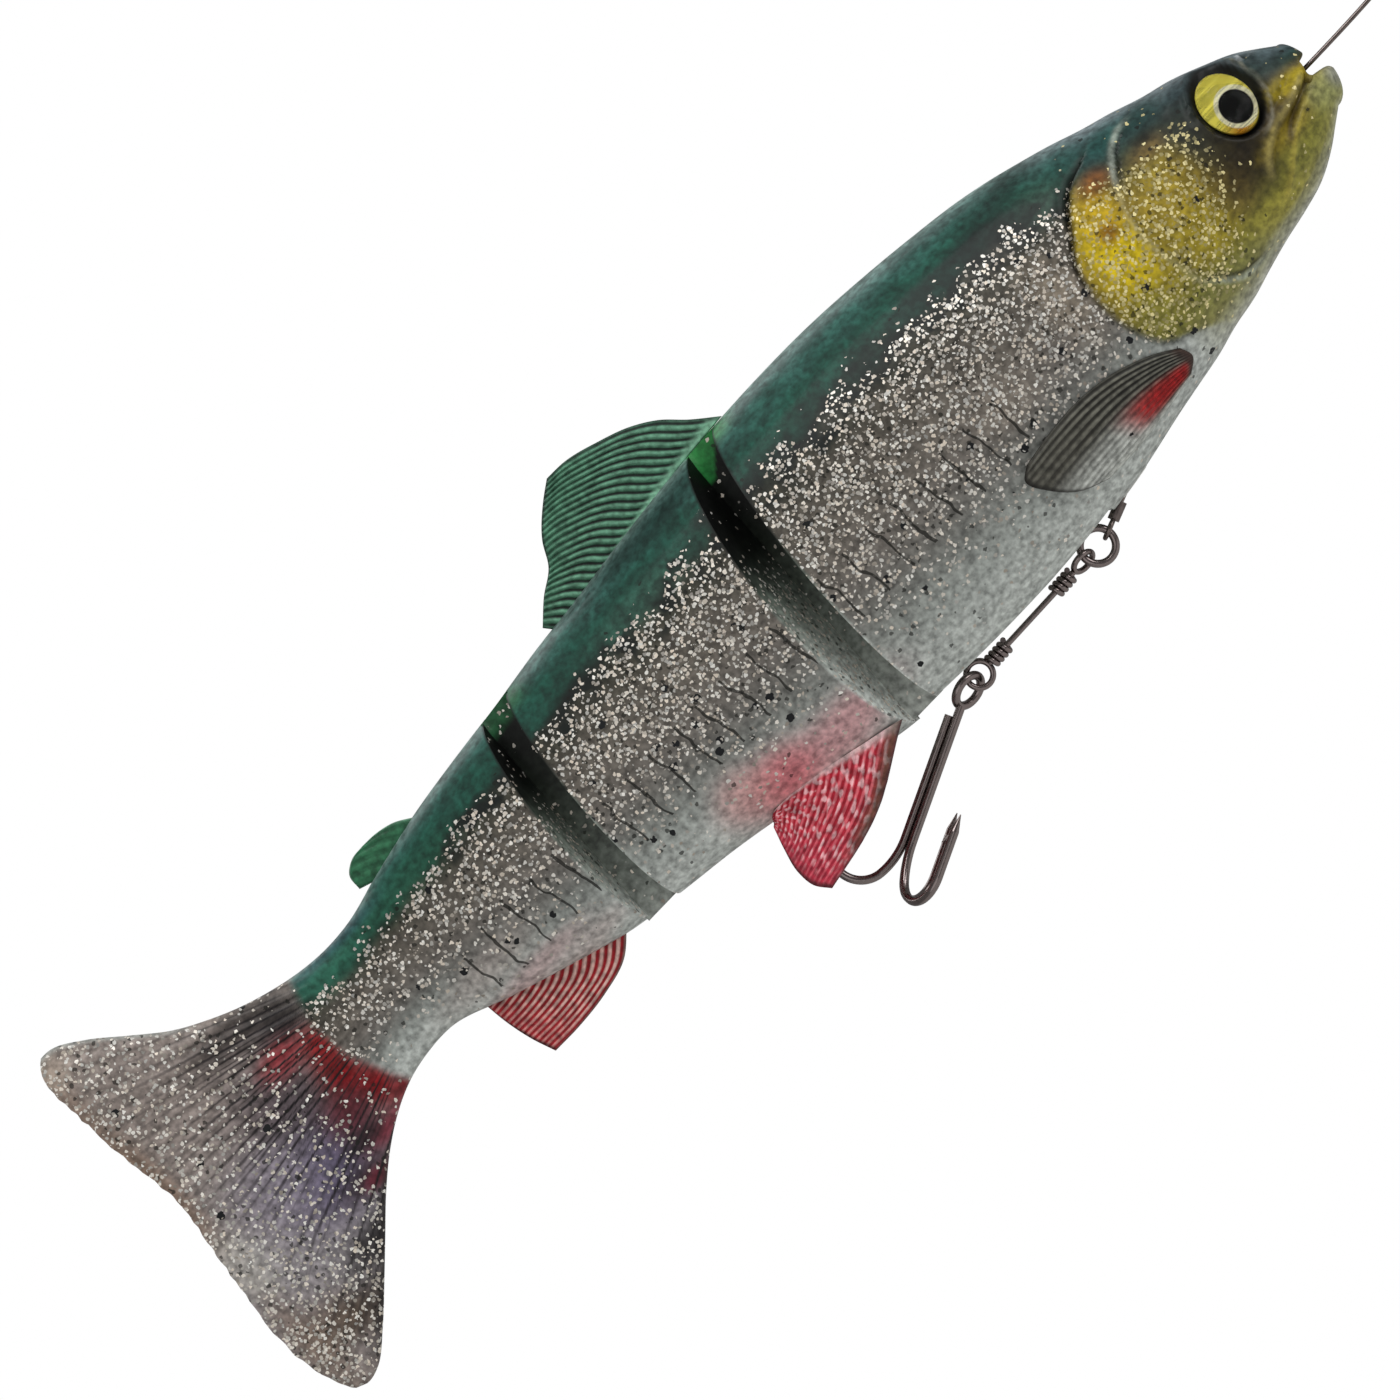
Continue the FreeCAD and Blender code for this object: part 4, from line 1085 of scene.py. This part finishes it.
fins = {  # each a leaf between its base and its free edge, with a ridge to every ray
    "dorsalFin": {
        "node": "dorsal_fin", "body": "middle", "slot": "green_fin", "rays": 24, "columns": 110, "rows": 220,
        "thick": 0.62, "ridge": 0.16,
        "base": [(81.4, 21.8), (90.0, 21.1), (98.0, 20.1), (106.0, 19.0), (114.0, 18.0)],
        "edge": [(101.7, 31.9), (104.0, 30.3), (107.5, 27.1), (109.4, 24.2), (112.4, 22.1), (115.2, 19.6)],
        "lead": [(81.4, 21.8), (84.5, 24.4), (87.2, 27.1), (90.2, 29.0), (94.1, 30.5), (99.0, 31.8),
                 (101.7, 31.9)],
        "trail": [(114.0, 18.0), (115.2, 19.6)],
        "rayEdge": (0.05, 0.6),
        "web": "#18221d", "ray": "#64977c", "tip": "#4a7c62", "root": "#8cc4a4", "rim": "#22322b",
    },
    "adiposeFin": {
        "node": "adipose_fin", "body": "tail", "slot": "green_fin", "rays": 5, "columns": 40, "rows": 60,
        "thick": 0.6, "ridge": 0.05,
        "base": [(142.5, 14.8), (147.0, 13.9), (151.5, 12.9)],
        "edge": [(149.6, 17.0), (151.6, 16.8), (153.3, 15.6), (153.6, 13.6)],
        "lead": [(142.5, 14.8), (145.0, 16.3), (147.5, 16.9), (149.6, 17.0)],
        "trail": [(151.5, 12.9), (153.6, 13.6)],
        "web": "#2a5f42", "ray": "#35704f", "tip": "#2f6a4a", "root": "#2b5c44", "rim": "#93b8a2",
    },
    "analFin": {
        "node": "anal_fin", "body": "tail", "slot": "red_fin", "rays": 17, "columns": 80, "rows": 130,
        "thick": 0.62, "ridge": 0.14,
        "base": [(133.8, -12.6), (138.0, -11.6), (143.0, -9.6), (148.0, -7.4), (152.4, -5.6)],
        "edge": [(151.2, -17.3), (152.2, -14.1), (152.8, -11.0), (153.2, -6.0)],
        "lead": [(133.8, -12.6), (137.5, -15.6), (142.0, -16.8), (147.0, -17.3), (151.2, -17.3)],
        "trail": [(152.4, -5.6), (153.2, -6.0)],
        "web": "#9c1620", "ray": "#dcb6ac", "tip": "#b4303a", "root": "#7c3a40", "rim": "#1f1012",
    },
}
pelvic = {
    "rays": 17, "columns": 100, "rows": 120, "thick": 0.62, "ridge": 0.13, "sway": 0.8,
    "place": (92.8, -19.6, 4.8), "slant": 20.0,
    "bendBack": 110.0, "bendFrom": -19.9, "bendTo": -17.6,
    "fleck": "#f2c9cc", "leadPaint": "#4c4a38",
    # behind and above the fin's front corner
    "base": [(0.0, 0.0), (5.0, 1.2), (10.0, 2.4), (15.0, 3.3), (19.4, 3.6)],
    "edge": [(20.7, -8.6), (22.0, -6.6), (22.2, -4.0), (21.4, -0.8), (20.4, 2.0)],
    "lead": [(0.0, 0.0), (5.0, -3.2), (9.6, -5.6), (14.0, -7.2), (18.3, -8.2), (20.7, -8.6)],
    "trail": [(19.4, 3.6), (20.4, 2.0)],
    "web": "#a4182c", "ray": "#d8646f", "tip": "#c03c52", "root": "#e4c8c6", "rim": "#4a2428",
}
pectoral = {
    "rays": 13, "columns": 110, "rows": 90, "thick": 0.5, "ridge": 0.09, "sway": 0.5,
    "rootLift": 0.35, "tipLift": 0.9,  # how far it stands off the flank
    "pale": "#c2c5bf", "palest": "#c2c5be", "redRoot": "#a81216",
    "base": [(37.2, -12.6), (36.7, -14.2), (38.6, -15.9)],
    "edge": [(60.5, -9.0), (62.0, -10.2), (60.6, -13.4), (58.0, -16.0), (54.6, -17.4)],
    "lead": [(37.2, -12.6), (40.0, -10.8), (44.0, -9.2), (49.0, -8.2), (55.0, -8.2), (60.5, -9.0)],
    "trail": [(38.6, -15.9), (44.0, -16.8), (49.0, -17.4), (54.6, -17.4)],
    "web": "#262520", "ray": "#6b6a60", "tip": "#55534b", "root": "#3c2a24", "rim": "#141210",
}


def leafPlaces(facts, s, t):
    # a patch between four lines: base at t=0, free edge at t=1, leading edge at s=0
    base, edge = alongLine(facts["base"], s), alongLine(facts["edge"], s)
    lead, trail = alongLine(facts["lead"], t), alongLine(facts["trail"], t)
    baseStart, baseEnd = np.asarray(facts["base"][0], float), np.asarray(facts["base"][-1], float)
    edgeStart, edgeEnd = np.asarray(facts["edge"][0], float), np.asarray(facts["edge"][-1], float)
    s, t = s[:, None], t[:, None]
    flat = (1 - t) * ((1 - s) * baseStart + s * baseEnd) + t * ((1 - s) * edgeStart + s * edgeEnd)
    return (1 - t) * base + t * edge + (1 - s) * lead + s * trail - flat


def leafPiece(name, facts, toSide):
    # both faces come from one grid, folded over the leading edge
    def across(around):
        return 1 - np.abs(2 * around - 1)

    def place(along, around):
        s, t = across(around), along
        hand = np.where(around < 0.5, 1.0, -1.0)
        swayed = s + 0.012 * facts.get("sway", 0.0) * np.sin(9 * t + 5 * s)
        places = leafPlaces(facts, np.clip(swayed, 0, 1), t)
        rim = np.clip(np.minimum(np.minimum(s, 1 - s) * 9, (1 - t) * 14), 0, 1)
        rim = np.sqrt(np.clip(1 - (1 - rim) ** 2, 0, 1)) * ease(t, -0.01, 0.012)
        ridges = facts["ridge"] * np.cos(2 * math.pi * facts["rays"] * s) * ease(t, 0.02, 0.1)
        half = (facts["thick"] * (1.15 - 0.45 * t) + ridges) * rim
        return toSide(places[:, 0], places[:, 1], hand * half)

    return gridPiece(name, facts["columns"], facts["rows"] * 2, place,
                     lambda along, around: {"rayAcross": across(around), "rayAlong": along})


def readMark(piece, name):
    values = np.empty(len(piece.data.vertices), np.float32)
    piece.data.attributes[name].data.foreach_get("value", values)
    return values.astype(float)


def finishLeaf(piece, facts, extra=None):
    s, t = readMark(piece, "rayAcross"), readMark(piece, "rayAlong")
    comb = 0.5 + 0.5 * np.cos(2 * math.pi * facts["rays"] * s)
    colours = np.tile(toLinear(facts["web"]), (len(s), 1))
    colours = blendTo(colours, facts["ray"], ease(comb, *facts.get("rayEdge", (0.25, 0.8))))
    colours = blendTo(colours, facts["tip"], 0.55 * ease(t, 0.45, 1.0))
    colours = blendTo(colours, facts["root"], 0.9 * (1 - ease(t, 0.02, 0.10)))
    if extra:
        colours = extra(colours, s, t, comb)
    rim = np.maximum(1 - ease(s, 0.0, 0.035), np.maximum(ease(s, 0.975, 1.0), ease(t, 0.965, 0.99)))
    colours = blendTo(colours, facts["rim"], 0.8 * rim)
    finishSoft(piece, colours, plainMarks(len(s), spots=0.05), softFin, 60)


softFin = softBody("soft PVC fin, sprayed", gloss=1.1)


def makeFins():
    for name, facts in fins.items():
        piece = leafPiece(name, facts, lambda back, up, side: (back, up, side))
        finishLeaf(piece, facts)
        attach(piece, facts["body"])
        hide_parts(facts["node"])


makeFins()


def makePelvic(hand):
    atBack, atUp, atSide = pelvic["place"]
    lean = math.radians(pelvic["slant"]) * hand

    def toSide(behind, above, side):
        # the fin hangs from the belly and slants outwards
        return (atBack + behind, atUp + above * math.cos(lean) + side * math.sin(lean),
                hand * atSide - above * math.sin(lean) + side * math.cos(lean))

    def extra(colours, s, t, comb):
        # pale flecks and an olive leading edge
        flecks = waves(60 * s, 30 * t, 0 * s, 2.2, 21) + 0.4 * comb
        colours = blendTo(colours, pelvic["fleck"], 0.7 * ease(flecks, 0.35, 0.8) * (1 - ease(t, 0.75, 1)))
        ahead = (1 - ease(s, 0.03, 0.16)) * (1 - ease(t, 0.6, 0.95))
        return blendTo(colours, pelvic["leadPaint"], 0.75 * ahead)

    piece = leafPiece("leftPelvicFin" if hand > 0 else "rightPelvicFin", pelvic, toSide)
    finishLeaf(piece, pelvic, extra)
    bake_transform(piece)
    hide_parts("left_pelvic_fin" if hand > 0 else "right_pelvic_fin")


def makePectoral(hand):
    def toSide(back, up, side):
        # the fin lies along the flank
        lift = pectoral["rootLift"] + pectoral["tipLift"] * ease(back, 40, 60)
        return back, up - 0.3 * side, hand * (flankSide(back, up) + lift + side)

    def extra(colours, s, t, comb):
        # pale behind, with a red patch at the root
        pale = ease(s, 0.36, 0.7) * ease(t, 0.25, 0.55)
        colours = blendTo(colours, pectoral["pale"], 0.95 * pale * (0.6 + 0.4 * comb))
        colours = blendTo(colours, pectoral["palest"], ease(s, 0.86, 0.95))
        red = np.exp(-((s - 0.66) / 0.2) ** 4) * ease(t, 0.02, 0.08) * (1 - ease(t, 0.38, 0.62))
        return blendTo(colours, pectoral["redRoot"], red * (0.7 + 0.3 * comb))

    piece = leafPiece("leftPectoralFin" if hand > 0 else "rightPectoralFin", pectoral, toSide)
    finishLeaf(piece, pectoral, extra)
    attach(piece, "head")


for hand in (-1, 1):
    makePelvic(hand)
    makePectoral(hand)
print("fins")


eye = {  # ovals are back, up from the eye's centre, half width, half height, in mm
    "centre": (11.9, 3.85),
    "pupil": (-0.5, -1.05, 2.05, 2.25),
    "iris": (0.0, 0.0, 3.3, 4.2),
    "glow": (1.2, -3.6, 2.6, 2.2),
    "irisPaint": "#f3e65e", "glowPaint": "#c98a1c", "ringPaint": "#f4efc4", "pupilPaint": "#0a0a0a",
    "rimPaint": "#0d0c09",
    "ringWide": 1.26, "rimFrom": 0.97, "sharp": 14.0,
}


def eyePaint():
    # printed foil disc: a yellow iris, a pale ring and an off-centre black pupil
    material, tree = newMaterial("printed foil eye")
    place = addNode(tree, "ShaderNodeTexCoord").outputs["Object"]
    centre = spot(*eye["centre"])
    ovals = {}
    for name in ("pupil", "iris", "glow"):
        # 1 on the oval and less inside it
        behind, above, wide, tall = (value * mm for value in eye[name])
        away = addNode(tree, "ShaderNodeVectorMath", {
            0: place, 1: (centre.x - behind, 0, centre.z + above)}, operation="SUBTRACT")
        away = addNode(tree, "ShaderNodeVectorMath", {
            0: away, 1: (1 / wide, 0, 1 / tall)}, operation="MULTIPLY")
        ovals[name] = addNode(tree, "ShaderNodeVectorMath", {0: away}, operation="LENGTH").outputs["Value"]
    glow = addNode(tree, "ShaderNodeMath", {0: 1.15, 1: ovals["glow"]}, operation="SUBTRACT", use_clamp=True)
    colour = addNode(tree, "ShaderNodeMix", {
        0: glow, 6: paintOf(eye["irisPaint"]), 7: paintOf(eye["glowPaint"])}, data_type="RGBA").outputs[2]
    for first, second, paint in ((eye["ringWide"], ovals["pupil"], eye["ringPaint"]),
                                 (1.0, ovals["pupil"], eye["pupilPaint"]),
                                 (ovals["iris"], eye["rimFrom"], eye["rimPaint"])):
        inside = addNode(tree, "ShaderNodeMath", {0: first, 1: second}, operation="SUBTRACT")
        inside = addNode(tree, "ShaderNodeMath", {
            0: inside, 1: eye["sharp"]}, operation="MULTIPLY", use_clamp=True)
        colour = addNode(tree, "ShaderNodeMix", {0: inside, 6: colour, 7: paintOf(paint)},
                         data_type="RGBA").outputs[2]
    shadeWith(tree, {"Base Color": colour, "Roughness": 0.6, "Specular IOR Level": 0.1})
    return material


def clearDome():
    # cast clear epoxy, polished; a low IOR keeps the disc below it in its place
    material, tree = newMaterial("clear epoxy dome")
    shadeWith(tree, {"Base Color": (1, 1, 1, 1), "Roughness": 0.02, "IOR": 1.12, "Transmission Weight": 1.0})
    return material


def nodeObject(name):
    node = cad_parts[name]
    return bpy.data.objects[name] if isinstance(node, str) else node


foilEye, epoxy = eyePaint(), clearDome()
for word in ("right", "left"):
    dress(nodeObject(f"{word}_eye"), foilEye)
    dress(nodeObject(f"{word}_eye_lens"), epoxy)
print("eyes")


def blackNickel(name, colour, rough):
    # plated or coated wire: a dark mirror with faint drawing marks
    material, tree = newMaterial(name)
    place = addNode(tree, "ShaderNodeTexCoord").outputs["Object"]
    marks = addNode(tree, "ShaderNodeTexNoise", {"Vector": place, "Scale": 1 / (0.8 * mm), "Detail": 4.0})
    spread = addNode(tree, "ShaderNodeMapRange", {
        "Value": marks, 1: 0.3, 2: 0.7, 3: rough - 0.06, 4: rough + 0.08})
    tone = addNode(tree, "ShaderNodeMix", {0: marks, 6: paintOf(colour), 7: paintOf("#8d807c")},
                   data_type="RGBA").outputs[2]
    bump = addNode(tree, "ShaderNodeBump", {"Height": marks, "Strength": 0.15, "Distance": 0.03 * mm})
    shadeWith(tree, {"Base Color": tone, "Metallic": 1.0, "Roughness": spread, "Normal": bump})
    return material


nickel = blackNickel("black nickel plated hook wire", "#7d7474", 0.22)  # dark and bright
crimpMetal = blackNickel("oxidised copper sleeve", "#4a4444", 0.34)  # nearly black, duller
steelWire = blackNickel("coated steel leader wire", "#5c5552", 0.3)  # dark grey, satin

trace = {
    "wire": 0.38, "frontEye": (-90.147, -22.249), "frontRadius": 1.5, "rearEye": (-108.8, -22.7),
    "rearRadius": 1.65, "tilt": 30.0,  # the front eye is turned to take its ring
    # the wraps: their wire, their radius, and how far each stands from its eye
    "wrapWire": 0.36, "wrapRadius": 0.74, "turns": 4, "pitch": 0.72, "frontWrap": 2.1, "rearWrap": 5.0,
}


def placed(piece, place, along):
    # puts a piece made round Z at a place, along a direction
    turn = Vector((0, 0, 1)).rotation_difference(along)
    piece.rotation_mode = "QUATERNION"
    piece.rotation_quaternion = turn
    piece.location = place
    return settle(piece)


def wrapCoil(start, along):
    # close turns of the same wire, screwed round the shaft
    deselectAll()
    bpy.ops.mesh.primitive_circle_add(
        vertices=14, radius=trace["wrapWire"] * mm, fill_type="NOTHING",
        location=(trace["wrapRadius"] * mm, 0, 0), rotation=(math.radians(90), 0, 0))
    coil = settle(bpy.context.object)
    screw = coil.modifiers.new("turns", "SCREW")
    screw.axis = "Z"
    screw.angle = 2 * math.pi
    screw.screw_offset = trace["pitch"] * mm
    screw.iterations = trace["turns"]
    screw.steps = screw.render_steps = 28
    onlySelect(coil)
    bpy.ops.object.modifier_apply(modifier="turns")
    closeEnds(coil)
    return placed(coil, start, along)


def makeTrace():
    front, rear = (Vector((x, 0, z)) * mm for x, z in (trace["frontEye"], trace["rearEye"]))
    frontRadius, rearRadius = trace["frontRadius"] * mm, trace["rearRadius"] * mm
    along = (rear - front).normalized()
    tilted = Matrix.Rotation(math.radians(trace["tilt"]), 3, along) @ along.cross(Vector((0, 1, 0)))
    pieces = []
    for centre, radius, axis in ((front, frontRadius, tilted), (rear, rearRadius, Vector((0, 1, 0)))):
        deselectAll()
        bpy.ops.mesh.primitive_torus_add(major_radius=radius, minor_radius=trace["wire"] * mm,
                                         major_segments=56, minor_segments=16)
        pieces.append(placed(bpy.context.object, centre, axis))
    deselectAll()
    run = (rear - front).length - frontRadius - rearRadius
    bpy.ops.mesh.primitive_cylinder_add(vertices=24, radius=trace["wire"] * mm, depth=run)
    runMiddle = (front + along * frontRadius + rear - along * rearRadius) / 2
    pieces.append(placed(bpy.context.object, runMiddle, along))
    pieces.append(wrapCoil(front + along * trace["frontWrap"] * mm, along))
    pieces.append(wrapCoil(rear - along * trace["rearWrap"] * mm, along))
    onlySelect(pieces[0])
    for piece in pieces[1:]:
        piece.select_set(True)
    bpy.ops.object.join()
    whole = bpy.context.object
    whole.name = whole.data.name = "traceWire"
    smooth(whole, 40)
    dress(whole, nickel)
    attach(whole, "trace")
    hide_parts("trace_wire")


makeTrace()
dress(leaderWire, steelWire)
for name, metal in (("leader_run", steelWire), ("leader_crimp", crimpMetal), ("leader_sleeve", crimpMetal),
                    ("connector_ring", nickel), ("treble_double", nickel), ("treble_single", nickel)):
    dress(nodeObject(name), metal)
print("rig")


def moulded(name, colour, rough, grainSize, metallic=0.0):
    # what lies inside: one colour with an uneven grain, grainSize in mm
    material, tree = newMaterial(name)
    place = addNode(tree, "ShaderNodeTexCoord").outputs["Object"]
    grain = addNode(tree, "ShaderNodeTexNoise", {
        "Vector": place, "Scale": 1 / (grainSize * mm), "Detail": 3.0})
    tone = addNode(tree, "ShaderNodeMapRange", {"Value": grain, 1: 0.3, 2: 0.7, 3: 0.75, 4: 1.1})
    colour = addNode(tree, "ShaderNodeMix", {0: 1.0, 6: paintOf(colour), 7: tone},
                     data_type="RGBA", blend_type="MULTIPLY").outputs[2]
    bump = addNode(tree, "ShaderNodeBump", {"Height": grain, "Strength": 0.3, "Distance": 0.1 * mm})
    shadeWith(tree, {"Base Color": colour, "Roughness": rough, "Metallic": metallic, "Normal": bump})
    return material


lead = moulded("cast lead", "#6a6c70", 0.55, 1.2, 0.8)  # dull grey, slightly pitted
tubePlastic = moulded("extruded polythene tube", "#e6e6df", 0.4, 2.0)  # milky, smooth
woven = moulded("woven nylon mesh", "#d8d4c6", 0.8, 0.6)  # threads half a millimetre apart
for name, material in (("head_ballast", lead), ("middle_ballast", lead), ("line_tube", tubePlastic),
                       ("head_mesh", woven), ("middle_mesh", woven), ("tail_mesh", woven)):
    dress(nodeObject(name), material)

bpy.context.view_layer.update()
